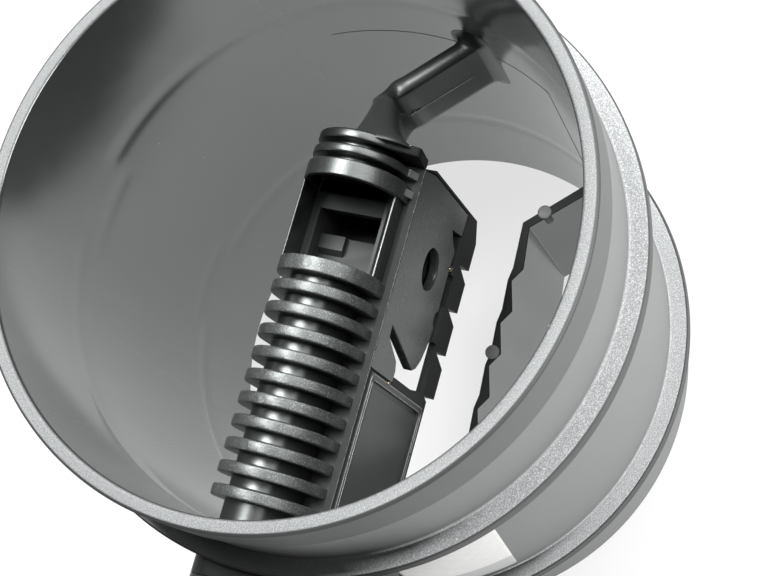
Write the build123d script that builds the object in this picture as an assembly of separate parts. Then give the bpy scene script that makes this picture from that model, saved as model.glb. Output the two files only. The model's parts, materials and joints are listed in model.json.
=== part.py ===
from build123d import *
import math
import os

# Mass airflow sensor: an open flow tube with a plug-in sensor blade across it. Sizes in mm.
# Frame: Z is the tube's axis and up, the outlet plane is Z = 0, and the blade points to +X.

# Flow tube
TUBE_LENGTH = 94.6
BODY_R = 44.0
OUTLET_WALL = 2.45
LIP_RISE = 1.0
LIP_HEIGHT = 4.0
LIP_STEP = 0.3
INLET_WALL = 2.25
UPPER_FLANGE_Z = 71.0
UPPER_FLANGE_RISE = 3.8
UPPER_FLANGE_T = 3.0
LOWER_FLANGE_Z = 24.45
LOWER_FLANGE_RISE = 3.15
LOWER_FLANGE_T = 2.6
EDGE_BREAK = 0.4
WALL_BITE = 0.6

# Sensor blade and the fairing that shields its leading edge
FACE_Y = -9.2
REAR_Y = 7.4
BLADE_TIP_X = 18.9
BLADE_TOP_Z = 66.15
BLADE_BOTTOM_Z = 37.2
TOOTH_TIP_Z = 33.8
SEAT_GAP = 0.25
NOSE_R = 7.7
NOSE_CENTRE_Z = 69.3
CORE_R = 5.4
SHOULDER_Y = -9.3
SHOULDER_Z = 67.0
FIN_COUNT = 11
FIN_PITCH = 3.47
FIN_T = 1.75
FIRST_FIN_T = 2.4
WINDOW_X0 = -1.7
WINDOW_X1 = 11.0
WINDOW_BAR = 0.6
COLLAR_T = 2.7
TIP_GROOVE = 1.0
TIP_FIN_T = 1.4
FOOT_T = 1.5
SHOULDER_LIP = 0.8
TIP_WALL = 1.7
TIP_RAKE_X = 1.6
TIP_RAKE_Z = 5.0
TIP_CHAMFER_X = 3.4
TIP_CHAMFER_Z = 2.6
SKIRT_NOTCHES = 4
NOTCH_START = 8.3
NOTCH_W = 2.6
NOTCH_DEPTH = 5.2

# Strut from the fairing's tip to the far wall
STRUT_T = 3.0
STRUT_Z0 = 46.5
STRUT_Z1 = 60.2
STRUT_BEND_X = 30.2
STRUT_BEND_Y = 3.3
STRUT_ANGLE = -46.8
STRUT_EDGE_R = 1.45
NECK_OVERLAP = 1.2
NECK_SET = 0.1
NECK_SINK = 0.5
NECK_Y = -2.8
NECK_RISE = 4.5
NECK_W = 7.6
NECK_H = 8.4
NECK_MID_X = 5.4
NECK_MID_Y = 0.2
NECK_MID_DROP = 4.0
NECK_MID_W = 4.2
NECK_MID_H = 10.0
ROOT_LENGTH = 5.5
ROOT_FLARE = 2.2
ROOT_RISE = 3.6

# Saw-toothed fence at the outlet
FENCE_TOP_Z = 30.0
FENCE_T = 1.4
FENCE_Y = -15.05
FENCE_CORNER_X = 21.9
FENCE_LEG_ANGLE = -46.9
FENCE_TEETH = 5
TOOTH_PITCH = 7.6
TOOTH_DEPTH = 1.5
TOOTH_RUN = 2.4
TOOTH_SHIFT = 1.4
TOOTH_ROOT_T = 0.75
TOOTH_OUTER = 0.35
FENCE_INSET = 0.7
PIN_PAD_R = 1.25
PIN_PAD_DEPTH = 3.0
PIN_PAD_PROUD = 0.15
PIN_PAD_ALONG = 3.6
PIN_PAD_MID_X = -1.4

# Mounting pad, flange and screws
PAD_STAND = 6.0
PAD_Y0 = -12.2
PAD_Y1 = 9.9
PAD_CORNER_R = 4.0
PAD_Z0 = 31.0
FLANGE_T = 4.2
EAR_R = 5.5
EAR_Y = 15.0
EAR_LOW_Z = 41.5
EAR_HIGH_Z = 62.4
SCREW_R = 1.65
SCREW_HEAD_R = 3.7
SCREW_HEAD_T = 2.6
SCREW_GRIP = 7.0
PILOT_GAP = 0.05
FLANGE_HOLE_GAP = 0.6
RING_W = 2.0
RING_T = 1.8
RING_GAP = 0.05
RING_INSET = 2.4
RING_SIDE_GAP = 0.2
RING_CORNER_R = 0.8
SLOT_CORNER_R = 0.6
HOLE_SPARE = 0.6
RECESS_R = 1.7
RECESS_DEPTH = 1.6
HEAD_CHAMFER = 0.8

# Connector and terminals
HEAD_DEPTH = 13.8
HEAD_Y0 = -12.0
HEAD_Y1 = 9.0
HEAD_CORNER_R = 3.0
CONNECTOR_SET = 0.8
CONNECTOR_Y = -32.0
SOCKET_CORNER_R = 1.6
KEY_SET = 3.5
KEY_Y0 = -27.0
KEY_Y1 = -20.0
KEY_H = 1.6
CONNECTOR_H = 20.0
CONNECTOR_MID_Z = 48.0
CONNECTOR_WALL = 1.8
TERMINAL_COUNT = 5
TERMINAL_PITCH = 3.2
TERMINAL_W = 1.2
TERMINAL_T = 0.8
MOULD_GAP = 0.04
PIN_SET = 6.0
TERMINAL_LAP = 3.4

# Blade pockets and covers
SKIN = 1.3
BACK_Y = 5.8
COVER_T = 1.6
COVER_GAP = 0.15
COVER_EDGE = 0.6
COVER_LAP = 1.0
POCKET_Z0 = 42.4
POCKET_TOP_WALL = 1.6
SHELF_T = 1.4
PARTITION_X0 = -15.6
PARTITION_X1 = -13.2
INLET_EDGE = 1.2
INLET_TIP_EDGE = 2.5
INLET_FACE = 2.6
INLET_FLOOR_Z = 62.0
INLET_FLOOR_T = 1.2
THROAT_X0 = 5.3
SPLITTER_X = 3.0
SPLITTER_Y = 1.7
SPLITTER_H = 1.1
SPLITTER_RAMP = 1.2
PORT_X = 5.4
PORT_Z = 52.2
PORT_R = 3.4
PORT_WALL = 1.0
OUTLET_X1 = -4.0
SLIT_X0 = 2.0
SLIT_X1 = 7.6
ROOT_STEP = 0.6
BORDER_W = 1.1
BORDER_GAP = 0.8
BORDER_RISE = 0.3
BORDER_GROOVE = 0.2

# Electronics in the root chamber and the sensing parts in the bypass
CHAMBER_WALL = 5.95
CHAMBER_Z0 = 40.0
CHAMBER_TOP_WALL = 2.2
CHAMBER_FLOOR_Y = 5.2
COVER_LEDGE = 1.2
PLATE_T = 1.0
PLATE_GAP = 0.4
BOARD_T = 1.2
BOARD_EDGE = 0.4
CARRIER_T = 1.6
CARRIER_MID_Z = 52.0
CARRIER_H = 10.0
CARRIER_X1 = -2.4
CARRIER_LAP = 1.6
CARRIER_GAP = 0.1
CHIP_T = 0.4
CHIP_W = 4.6
CHIP_H = 3.0
CHIP_EDGE = 2.6
CHIP_GAP = 0.05
PROCESSOR_W = 7.4
PROCESSOR_T = 1.2
PROCESSOR_Z = 50.3
CAPACITOR_COUNT = 3
CAPACITOR_W = 3.2
CAPACITOR_H = 1.6
CAPACITOR_T = 1.4
CAPACITOR_PITCH = 4.4
CAPACITOR_Z = 59.4
BEAD_X = 14.0
BEAD_Z = 59.5
BEAD_R = 1.15
BEAD_L = 3.2
LEAD_R = 0.25
LEAD_GAP = 0.05
LEAD_PITCH = 1.2
LEAD_DEPTH = 0.85

# Label
LABEL_T = 0.15
LABEL_Z0 = 26.4
LABEL_Z1 = 56.4
LABEL_START = -162.0
LABEL_ARC = 23.5

LIP_R = BODY_R + LIP_RISE
UPPER_FLANGE_R = BODY_R + UPPER_FLANGE_RISE
LOWER_FLANGE_R = BODY_R + LOWER_FLANGE_RISE
SEAT_Z = BLADE_TOP_Z + SEAT_GAP
SLOT_Y0 = FACE_Y - SEAT_GAP
SLOT_Y1 = REAR_Y + SEAT_GAP
SLOT_Z0 = TOOTH_TIP_Z - SEAT_GAP
PAD_Z1 = UPPER_FLANGE_Z - UPPER_FLANGE_T
INLET_BORE_R = LIP_R - INLET_WALL
OUTLET_BORE_R = BODY_R - OUTLET_WALL
COVER_Y = FACE_Y + COVER_T
PAD_X = -BODY_R - PAD_STAND
PAD_INNER_X = EAR_Y - OUTLET_BORE_R
FLANGE_X = PAD_X - FLANGE_T
HEAD_X = FLANGE_X - HEAD_DEPTH
TERMINAL_X = (HEAD_X + FLANGE_X) / 2
CHAMBER_X0 = -INLET_BORE_R + CHAMBER_WALL
CHAMBER_MID_X = (CHAMBER_X0 + PARTITION_X0) / 2
CHAMBER_Z1 = BLADE_TOP_Z - CHAMBER_TOP_WALL
BOARD_Y = CHAMBER_FLOOR_Y - PLATE_T - BOARD_T
CARRIER_Y = BOARD_Y - CARRIER_T
FOOT_X = WINDOW_X1 + COLLAR_T + 2 * TIP_GROOVE + TIP_FIN_T
LEAD_ZS = (BEAD_Z - LEAD_PITCH / 2, BEAD_Z + LEAD_PITCH / 2)
EARS = ((EAR_Y, EAR_LOW_Z), (-EAR_Y, EAR_HIGH_Z))
TERMINAL_ZS = [
    CONNECTOR_MID_Z + (k - (TERMINAL_COUNT - 1) / 2) * TERMINAL_PITCH for k in range(TERMINAL_COUNT)
]


def block(x0, x1, y0, y1, z0, z1):
    """A box between two corners."""
    middle = Pos((x0 + x1) / 2, (y0 + y1) / 2, (z0 + z1) / 2)
    return middle * Box(abs(x1 - x0), abs(y1 - y0), abs(z1 - z0))


def rod_x(x0, x1, y, z, radius):
    """A round bar along X."""
    return Pos((x0 + x1) / 2, y, z) * Rot(0, 90, 0) * Cylinder(radius, abs(x1 - x0))


def rod_y(y0, y1, x, z, radius):
    """A round bar along Y."""
    return Pos(x, (y0 + y1) / 2, z) * Rot(90, 0, 0) * Cylinder(radius, abs(y1 - y0))


def prism_y(points, y0, y1):
    """An outline of (x, z) points, drawn out along Y."""
    outline = Polyline(*[(x, y0, z) for x, z in points], close=True)
    return extrude(make_face(outline), amount=y1 - y0, dir=(0, 1, 0))


def prism_z(points, z0, z1):
    """An outline of (x, y) points, drawn up along Z."""
    outline = Polyline(*[(x, y, z0) for x, y in points], close=True)
    return extrude(make_face(outline), amount=z1 - z0, dir=(0, 0, 1))


def rounded_x(x0, x1, y0, y1, z0, z1, radius):
    """A bar along X with a rounded rectangle section."""
    section = Plane((x0, (y0 + y1) / 2, (z0 + z1) / 2), x_dir=(0, 1, 0), z_dir=(1, 0, 0))
    face = section * RectangleRounded(y1 - y0, z1 - z0, radius)
    return extrude(face, amount=x1 - x0, dir=(1, 0, 0))


def half_round(x0, x1, radius):
    """A slice of the fairing: a half-round nose on a short straight foot."""
    base, mid = SEAT_Z, NOSE_CENTRE_Z
    edges = [
        Line((x0, -radius, base), (x0, radius, base)),
        Line((x0, radius, base), (x0, radius, mid)),
        ThreePointArc((x0, radius, mid), (x0, 0, mid + radius), (x0, -radius, mid)),
        Line((x0, -radius, mid), (x0, -radius, base)),
    ]
    return extrude(make_face(edges), amount=x1 - x0, dir=(1, 0, 0))


def tube_shell():
    """The tube's outside as a solid of revolution, bore not yet cut."""
    spigot_r = LIP_R - LIP_STEP
    top, eb = TUBE_LENGTH, EDGE_BREAK
    profile = [
        (0, 0), (BODY_R, 0),
        (BODY_R, LOWER_FLANGE_Z - LOWER_FLANGE_T), (LOWER_FLANGE_R, LOWER_FLANGE_Z - LOWER_FLANGE_T),
        (LOWER_FLANGE_R, LOWER_FLANGE_Z), (BODY_R, LOWER_FLANGE_Z),
        (BODY_R, UPPER_FLANGE_Z - UPPER_FLANGE_T), (UPPER_FLANGE_R, UPPER_FLANGE_Z - UPPER_FLANGE_T),
        (UPPER_FLANGE_R, UPPER_FLANGE_Z), (spigot_r, UPPER_FLANGE_Z),
        (spigot_r, top - LIP_HEIGHT), (LIP_R, top - LIP_HEIGHT + LIP_STEP),
        (LIP_R, top - eb), (LIP_R - eb, top), (0, top),
    ]
    outline = Polyline(*[(r, 0, z) for r, z in profile], close=True)
    return revolve(make_face(outline), axis=Axis.Z)


def bore_solid():
    """The tapered air passage, with a small break at the inlet edge."""
    top, eb = TUBE_LENGTH, EDGE_BREAK
    profile = [
        (0, -1), (OUTLET_BORE_R, -1), (OUTLET_BORE_R, 0),
        (INLET_BORE_R, top - eb), (INLET_BORE_R + eb, top), (INLET_BORE_R + eb, top + 1), (0, top + 1),
    ]
    outline = Polyline(*[(r, 0, z) for r, z in profile], close=True)
    return revolve(make_face(outline), axis=Axis.Z)


def flange_plate(x0, x1):
    """The outline that the pad and the sensor flange share, with a diagonal pair of ears."""
    plate = rounded_x(x0, x1, PAD_Y0, PAD_Y1, PAD_Z0, PAD_Z1, PAD_CORNER_R)
    for y, z in EARS:
        plate += rod_x(x0, x1, y, z, EAR_R)
        plate += block(x0, x1, 0, y, z - EAR_R, z + EAR_R)
    return plate


def fairing():
    """The finned nose in front of the blade, with the inlet window and the tip plates."""
    start = -INLET_BORE_R - WALL_BITE
    collar_x = WINDOW_X1 + COLLAR_T
    tip_fin_x = collar_x + TIP_GROOVE
    body = half_round(start, FOOT_X, CORE_R)
    body += block(start, FOOT_X + FOOT_T + SHOULDER_LIP, SHOULDER_Y, 0, SEAT_Z, SHOULDER_Z)
    body += half_round(WINDOW_X0 - FIRST_FIN_T, collar_x, NOSE_R)
    body += half_round(tip_fin_x, tip_fin_x + TIP_FIN_T, NOSE_R)
    body += half_round(FOOT_X, FOOT_X + FOOT_T, NOSE_R)
    first = WINDOW_X0 - FIRST_FIN_T / 2
    for k in range(1, FIN_COUNT):
        centre = first - k * FIN_PITCH
        body += half_round(centre - FIN_T / 2, centre + FIN_T / 2, NOSE_R)
    half_window = NOSE_R - WINDOW_BAR
    window = block(WINDOW_X0, WINDOW_X1, -half_window, half_window, SEAT_Z - 1, NOSE_CENTRE_Z + NOSE_R + 1)
    return body - window


def strut_plane(distance):
    """The strut's cross-section plane at a distance past its bend."""
    heading = math.radians(STRUT_ANGLE)
    x = STRUT_BEND_X + distance * math.cos(heading)
    y = STRUT_BEND_Y + distance * math.sin(heading)
    along = (math.cos(heading), math.sin(heading), 0)
    return Plane((x, y, (STRUT_Z0 + STRUT_Z1) / 2), x_dir=(-along[1], along[0], 0), z_dir=along)


def strut_reach():
    """The distance from the strut's bend to the inlet bore, along the strut."""
    heading = math.radians(STRUT_ANGLE)
    ahead = STRUT_BEND_X * math.cos(heading) + STRUT_BEND_Y * math.sin(heading)
    short = INLET_BORE_R**2 - STRUT_BEND_X**2 - STRUT_BEND_Y**2
    return math.sqrt(ahead**2 + short) - ahead


def strut_section(distance, wider, taller):
    """The strut's rounded section, changed in thickness and in height."""
    height = STRUT_Z1 - STRUT_Z0 + taller
    return strut_plane(distance) * RectangleRounded(STRUT_T + wider, height, STRUT_EDGE_R + min(wider, 0) / 2)


def strut():
    """The thin rib from the fairing's foot plate to the far wall, with a flared neck and a flared root."""
    foot_x = FOOT_X + FOOT_T
    at_foot = Plane((foot_x - NECK_SINK, NECK_Y, SEAT_Z + NECK_RISE), x_dir=(0, 1, 0), z_dir=(1, 0, 0))
    mid = (foot_x + NECK_MID_X, NECK_MID_Y, SEAT_Z - NECK_MID_DROP)
    between = Plane(mid, x_dir=(-0.2, 1, 0), z_dir=(1, 0.2, -1.0))
    neck = loft(
        [
            at_foot * RectangleRounded(NECK_W, NECK_H, STRUT_EDGE_R),
            between * RectangleRounded(NECK_MID_W, NECK_MID_H, STRUT_EDGE_R),
            strut_section(NECK_OVERLAP, -2 * NECK_SET, -2 * NECK_SET),
        ],
        ruled=True,
    )
    wall = strut_reach()
    rib = extrude(strut_section(0, 0, 0), amount=wall + OUTLET_WALL / 2, dir=strut_plane(0).z_dir)
    root = loft(
        [
            strut_section(wall - ROOT_LENGTH, -2 * NECK_SET, -2 * NECK_SET),
            strut_section(wall - ROOT_LENGTH / 3, ROOT_FLARE / 2, ROOT_RISE / 2),
            strut_section(wall + WALL_BITE, 2 * ROOT_FLARE, 2 * ROOT_RISE),
        ],
        ruled=True,
    )
    return neck + rib + root


def fence():
    """The saw-toothed wall that stands across the outlet beside the blade, with two ejector pin pads."""
    heading = math.radians(FENCE_LEG_ANGLE)
    toward = (math.cos(heading), math.sin(heading))
    leg = (2 * BODY_R * toward[0], 2 * BODY_R * toward[1])
    inner_y = FENCE_Y - FENCE_T
    set_x = FENCE_CORNER_X - FENCE_INSET
    back = FENCE_T - FENCE_INSET
    outer = [(FENCE_CORNER_X + leg[0], FENCE_Y + leg[1]), (FENCE_CORNER_X, FENCE_Y)]
    inner = [(set_x + leg[0] - back, inner_y + leg[1] - back / 2), (set_x, inner_y)]
    first = (FENCE_TEETH - 1) * TOOTH_PITCH / 2 - TOOTH_SHIFT
    for k in range(FENCE_TEETH):
        x = first - k * TOOTH_PITCH
        outer += [(x, FENCE_Y - TOOTH_OUTER), (x - TOOTH_RUN, FENCE_Y)]
        inner += [(x, FENCE_Y - TOOTH_ROOT_T - TOOTH_DEPTH), (x - TOOTH_RUN, FENCE_Y - TOOTH_ROOT_T)]
    outer += [(-FENCE_CORNER_X, FENCE_Y), (-FENCE_CORNER_X - leg[0], FENCE_Y + leg[1])]
    inner += [(-set_x, inner_y), (-set_x - leg[0] + back, inner_y + leg[1] - back / 2)]
    wall = prism_z(outer + inner[::-1], 0, FENCE_TOP_Z)
    along = PIN_PAD_ALONG
    corner_pad = (FENCE_CORNER_X + along * toward[0], FENCE_Y - FENCE_T / 2 + along * toward[1])
    for x, y in (corner_pad, (PIN_PAD_MID_X, FENCE_Y - FENCE_T / 2)):
        pad = Cylinder(PIN_PAD_R, PIN_PAD_DEPTH + PIN_PAD_PROUD, align=(Align.CENTER, Align.CENTER, Align.MIN))
        wall += Pos(x, y, FENCE_TOP_Z - PIN_PAD_DEPTH) * pad
    return wall


def flow_tube():
    """The one-piece tube: shell, pad, fairing, strut and fence."""
    body = tube_shell() + flange_plate(PAD_X, PAD_INNER_X)
    body -= bore_solid()
    inside = fairing() + strut()
    trim = Cylinder(INLET_BORE_R + WALL_BITE, TUBE_LENGTH, align=(Align.CENTER, Align.CENTER, Align.MIN))
    body += inside & trim
    low_trim = Cylinder(OUTLET_BORE_R + OUTLET_WALL / 2, TUBE_LENGTH, align=(Align.CENTER, Align.CENTER, Align.MIN))
    body += fence() & low_trim
    body -= rounded_x(PAD_X - 1, PAD_INNER_X, SLOT_Y0, SLOT_Y1, SLOT_Z0, SEAT_Z, SLOT_CORNER_R)
    for y, z in EARS:
        body -= rod_x(PAD_X - 1, PAD_X + SCREW_GRIP + HOLE_SPARE, y, z, SCREW_R + PILOT_GAP)
    return body


def blade_outline():
    """The blade seen from the side, with the deeper trailing skirt towards its tip."""
    tip = BLADE_TIP_X
    root = PARTITION_X1 + ROOT_STEP
    wall = -OUTLET_BORE_R
    return [
        (PAD_X, TOOTH_TIP_Z), (wall - WALL_BITE, TOOTH_TIP_Z), (wall + TIP_CHAMFER_Z, BLADE_BOTTOM_Z),
        (root, BLADE_BOTTOM_Z), (root, TOOTH_TIP_Z),
        (tip - TIP_CHAMFER_X, TOOTH_TIP_Z), (tip, TOOTH_TIP_Z + TIP_CHAMFER_Z), (tip, BLADE_TOP_Z - TIP_RAKE_Z),
        (tip - TIP_RAKE_X, BLADE_TOP_Z), (PAD_X, BLADE_TOP_Z),
    ]


def tooth_notches():
    """V-shaped notches that make the teeth of the trailing skirt."""
    notches = []
    for k in range(SKIRT_NOTCHES):
        x = BLADE_TIP_X - NOTCH_START - k * TOOTH_PITCH
        low = TOOTH_TIP_Z - 1
        notch = [(x + NOTCH_W / 13, low), (x - NOTCH_W / 6, TOOTH_TIP_Z + NOTCH_DEPTH), (x - NOTCH_W, low)]
        notches.append(prism_y(notch, FACE_Y - 1, REAR_Y + 1))
    return notches


def bypass_cover_outline():
    """The bypass cover seen from the side: tip slot, notch, rounded outlet lobe and outlet cut."""
    tip, top = BLADE_TIP_X - COVER_EDGE, BLADE_TOP_Z - COVER_EDGE / 3
    low = POCKET_Z0
    root = PARTITION_X1 - COVER_LAP
    tip_slot = [(14.3, low - 0.8), (13.9, low + 4.6), (12.2, low + 2.5), (11.2, low + 0.6)]
    lower_edge = [(8.0, low + 1.0), (2.0, low + 0.8), (0.9, low + 0.7)]
    notch = [(0.2, low + 1.8), (-1.2, low + 1.9), (-1.9, low + 0.9)]
    lobe = [(-4.6, low + 1.2), (-8.0, low + 2.5), (-9.8, low + 4.0), (-10.5, low + 5.6)]
    cut = [(-6.6, low + 19.2), (-8.3, low + 19.0), (-10.8, low + 13.4), (-12.2, low + 12.6)]
    start = [(tip - TIP_RAKE_X + COVER_EDGE, top), (tip, top - TIP_RAKE_Z), (tip, low - 0.8)]
    return start + tip_slot + lower_edge + notch + lobe + cut + [(root, low + 12.6), (root, top)]


def terminal(z, gap):
    """One bent terminal from the board to the connector, grown by a gap for its channel."""
    half_w, half_t = TERMINAL_W / 2 + gap, TERMINAL_T / 2 + gap
    y = BOARD_Y - TERMINAL_T / 2
    x0, x1 = TERMINAL_X - half_t, TERMINAL_X + half_t
    inner = block(x0, CHAMBER_X0 + TERMINAL_LAP, y - half_t, y + half_t, z - half_w, z + half_w)
    outer = block(x0, x1, CONNECTOR_Y + PIN_SET, y + half_t, z - half_w, z + half_w)
    return inner + outer


def connector():
    """The head on the flange with the connector socket pointing to -Y."""
    z0, z1 = CONNECTOR_MID_Z - CONNECTOR_H / 2, CONNECTOR_MID_Z + CONNECTOR_H / 2
    x0, x1 = HEAD_X, FLANGE_X - CONNECTOR_SET
    head = block(HEAD_X, FLANGE_X, HEAD_Y0, HEAD_Y1, z0, z1)
    head = fillet(head.edges().filter_by(Axis.Y).group_by(Axis.X)[0], HEAD_CORNER_R)
    start = HEAD_Y0 + 1
    section = Plane(((x0 + x1) / 2, start, CONNECTOR_MID_Z), x_dir=(1, 0, 0), z_dir=(0, -1, 0))
    outline = section * RectangleRounded(x1 - x0, z1 - z0, HEAD_CORNER_R)
    shroud = extrude(outline, amount=start - CONNECTOR_Y, dir=(0, -1, 0))
    width, height = x1 - x0 - 2 * CONNECTOR_WALL, z1 - z0 - 2 * CONNECTOR_WALL
    inside = section * RectangleRounded(width, height, SOCKET_CORNER_R)
    socket = extrude(inside, amount=start - CONNECTOR_Y + 1, dir=(0, -1, 0))
    key = block(x0 + KEY_SET, x1 - KEY_SET, KEY_Y0, KEY_Y1, z1 - CONNECTOR_WALL / 2, z1 + KEY_H)
    return head + shroud + key - socket


def bypass_cuts(body):
    """The blade with its bypass pocket, outlet, inlet recess and port pillar."""
    tip_in = BLADE_TIP_X - TIP_WALL
    shelf_z = POCKET_Z0 - SHELF_T
    front = FACE_Y - 1
    inlet_x0, inlet_x1 = WINDOW_X0 + INLET_EDGE, WINDOW_X1 - INLET_TIP_EDGE
    pocket_z1 = BLADE_TOP_Z - POCKET_TOP_WALL
    body -= block(PARTITION_X1, tip_in, FACE_Y + SKIN, REAR_Y - SKIN, 0, shelf_z)
    body -= block(PARTITION_X1, tip_in, front, BACK_Y, POCKET_Z0, pocket_z1)
    body -= block(PARTITION_X1 + ROOT_STEP, OUTLET_X1, front, REAR_Y - 2 * SKIN, shelf_z - 1, POCKET_Z0 + 1)
    body -= block(SLIT_X0, SLIT_X1, front, COVER_Y + 1, shelf_z - SHELF_T / 4, POCKET_Z0 + 1)
    body -= block(inlet_x0, inlet_x1, FACE_Y + INLET_FACE, BACK_Y, pocket_z1 - 1, BLADE_TOP_Z + 1)
    body += block(inlet_x0, THROAT_X0, COVER_Y, BACK_Y + WALL_BITE, INLET_FLOOR_Z - INLET_FLOOR_T, INLET_FLOOR_Z)
    top = INLET_FLOOR_Z + SPLITTER_H
    low = INLET_FLOOR_Z - INLET_FLOOR_T / 2
    wedge = [(SPLITTER_X - SPLITTER_RAMP, low), (SPLITTER_X, top), (THROAT_X0, top), (THROAT_X0, low)]
    body += prism_y(wedge, SPLITTER_Y, BACK_Y + WALL_BITE)
    body += rod_y(COVER_Y + COVER_EDGE, BACK_Y + WALL_BITE, PORT_X, PORT_Z, PORT_R + PORT_WALL)
    body -= prism_y(grown(bypass_cover_outline(), COVER_GAP), front, COVER_Y)
    for lead_z in LEAD_ZS:
        body -= rod_y(BACK_Y - 1, BACK_Y + LEAD_DEPTH + LEAD_GAP, BEAD_X, lead_z, LEAD_R + LEAD_GAP)
    return body


def chamber_cuts(body):
    """The blade with its electronics chamber, cover seat and carrier slot."""
    front = FACE_Y - 1
    body -= block(CHAMBER_X0, PARTITION_X0, front, CHAMBER_FLOOR_Y, CHAMBER_Z0, CHAMBER_Z1)
    x0, x1, z0, z1 = electronics_cover_box(COVER_GAP)
    body -= block(x0, x1, front, COVER_Y, z0, z1)
    half = CARRIER_H / 2 + CARRIER_GAP
    y0, y1 = CARRIER_Y - CARRIER_GAP, BOARD_Y + CARRIER_GAP
    return body - block(PARTITION_X0 - 1, PARTITION_X1 + 1, y0, y1, CARRIER_MID_Z - half, CARRIER_MID_Z + half)


def sensor_body():
    """The plug-in sensor: blade, root plug, flange and connector in one moulding."""
    body = prism_y(blade_outline(), FACE_Y, REAR_Y)
    for notch in tooth_notches():
        body -= notch
    body = chamber_cuts(bypass_cuts(body))
    groove_x0 = PAD_X + RING_INSET
    groove_x1 = groove_x0 + RING_W + 2 * RING_SIDE_GAP
    groove = block(groove_x0, groove_x1, FACE_Y - 1, REAR_Y + 1, TOOTH_TIP_Z - 1, BLADE_TOP_Z + 1)
    body -= groove - ring_section(groove_x0 - 1, groove_x1 + 1, RING_T, RING_CORNER_R)
    flange = flange_plate(FLANGE_X, PAD_X)
    for y, z in EARS:
        flange -= rod_x(FLANGE_X - 1, PAD_X + 1, y, z, SCREW_R + FLANGE_HOLE_GAP)
    body += flange
    body += connector()
    for z in TERMINAL_ZS:
        body -= terminal(z, MOULD_GAP)
    return body


def grown(points, gap):
    """An outline moved outward by a gap, corner by corner."""
    count = len(points)
    area = sum(points[k - 1][0] * points[k][1] - points[k][0] * points[k - 1][1] for k in range(count))
    side = math.copysign(gap, area)
    moved = []
    for k in range(count):
        (ax, az), (bx, bz), (cx, cz) = points[k - 1], points[k], points[(k + 1) % count]
        before, after = math.hypot(bx - ax, bz - az), math.hypot(cx - bx, cz - bz)
        n1 = ((bz - az) / before, (ax - bx) / before)
        n2 = ((cz - bz) / after, (bx - cx) / after)
        scale = side / max(1 + n1[0] * n2[0] + n1[1] * n2[1], 0.5)
        moved.append((bx + scale * (n1[0] + n2[0]), bz + scale * (n1[1] + n2[1])))
    return moved


def electronics_cover_box(gap):
    """The four sides of the electronics cover's seat."""
    x0, x1 = CHAMBER_X0 - COVER_LEDGE, PARTITION_X0 + COVER_LAP
    return x0 - gap, x1 + gap, CHAMBER_Z0 - COVER_LEDGE - gap, CHAMBER_Z1 + COVER_LEDGE + gap


def bypass_cover():
    """The plate that closes the bypass channel, with its round port."""
    plate = prism_y(bypass_cover_outline(), FACE_Y, COVER_Y)
    return plate - rod_y(FACE_Y - 1, COVER_Y + 1, PORT_X, PORT_Z, PORT_R)


def electronics_cover():
    """The plate over the circuit board, with a raised double border."""
    x0, x1, z0, z1 = electronics_cover_box(0)
    plate = block(x0, x1, FACE_Y - BORDER_RISE, COVER_Y, z0, z1)
    a = BORDER_W
    plate -= block(x0 + a, x1 - a, FACE_Y - 1, FACE_Y + BORDER_GROOVE, z0 + a, z1 - a)
    b = BORDER_W + BORDER_GAP
    return plate + block(x0 + b, x1 - b, FACE_Y - BORDER_RISE / 3, COVER_Y - COVER_T / 4, z0 + b, z1 - b)


def ring_section(x0, x1, inset, radius):
    """The root plug's section, set in by a depth all round."""
    return rounded_x(
        x0, x1, FACE_Y + inset, REAR_Y - inset, TOOTH_TIP_Z + inset, BLADE_TOP_Z - inset, radius
    )


def sealing_ring():
    """The rubber ring in the root plug's groove."""
    x0 = PAD_X + RING_INSET + RING_SIDE_GAP
    outer = ring_section(x0, x0 + RING_W, RING_GAP - SEAT_GAP, SLOT_CORNER_R - RING_GAP)
    return outer - ring_section(x0 - 1, x0 + RING_W + 1, RING_T - RING_GAP, RING_CORNER_R + RING_GAP)


def mounting_screw(y, z):
    """A pan-head screw with a hexagon recess, its head on the sensor flange."""
    seat = FLANGE_X
    face = seat - SCREW_HEAD_T
    shank = rod_x(seat, PAD_X + SCREW_GRIP, y, z, SCREW_R)
    head = chamfer(rod_x(face, seat, y, z, SCREW_HEAD_R).edges().group_by(Axis.X)[0], HEAD_CHAMFER)
    section = Plane((face - 1, y, z), x_dir=(0, 1, 0), z_dir=(1, 0, 0))
    recess = extrude(section * RegularPolygon(RECESS_R, 6), amount=RECESS_DEPTH + 1, dir=(1, 0, 0))
    return shank + head - recess


def carrier_plate():
    """The aluminium plate that the circuit board is bonded to."""
    x0, x1 = CHAMBER_X0 + PLATE_GAP, PARTITION_X0 - PLATE_GAP
    y1 = CHAMBER_FLOOR_Y
    return block(x0, x1, y1 - PLATE_T, y1, CHAMBER_Z0 + PLATE_GAP, CHAMBER_Z1 - PLATE_GAP)


def circuit_board():
    """The board in the electronics chamber."""
    edge = PLATE_GAP + BOARD_EDGE
    x0, x1 = CHAMBER_X0 + edge, PARTITION_X0 - PLATE_GAP
    return block(x0, x1, BOARD_Y, BOARD_Y + BOARD_T, CHAMBER_Z0 + edge, CHAMBER_Z1 - edge)


def signal_chip():
    """The signal processor on the board."""
    half = PROCESSOR_W / 2
    x, z = CHAMBER_MID_X, PROCESSOR_Z
    return block(x - half, x + half, BOARD_Y - PROCESSOR_T, BOARD_Y, z - half, z + half)


def capacitor(k):
    """One chip capacitor of the row on the board."""
    x = CHAMBER_MID_X + (k - (CAPACITOR_COUNT - 1) / 2) * CAPACITOR_PITCH
    half_w, half_h = CAPACITOR_W / 2, CAPACITOR_H / 2
    y0 = BOARD_Y - CAPACITOR_T
    return block(x - half_w, x + half_w, y0, BOARD_Y, CAPACITOR_Z - half_h, CAPACITOR_Z + half_h)


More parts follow.
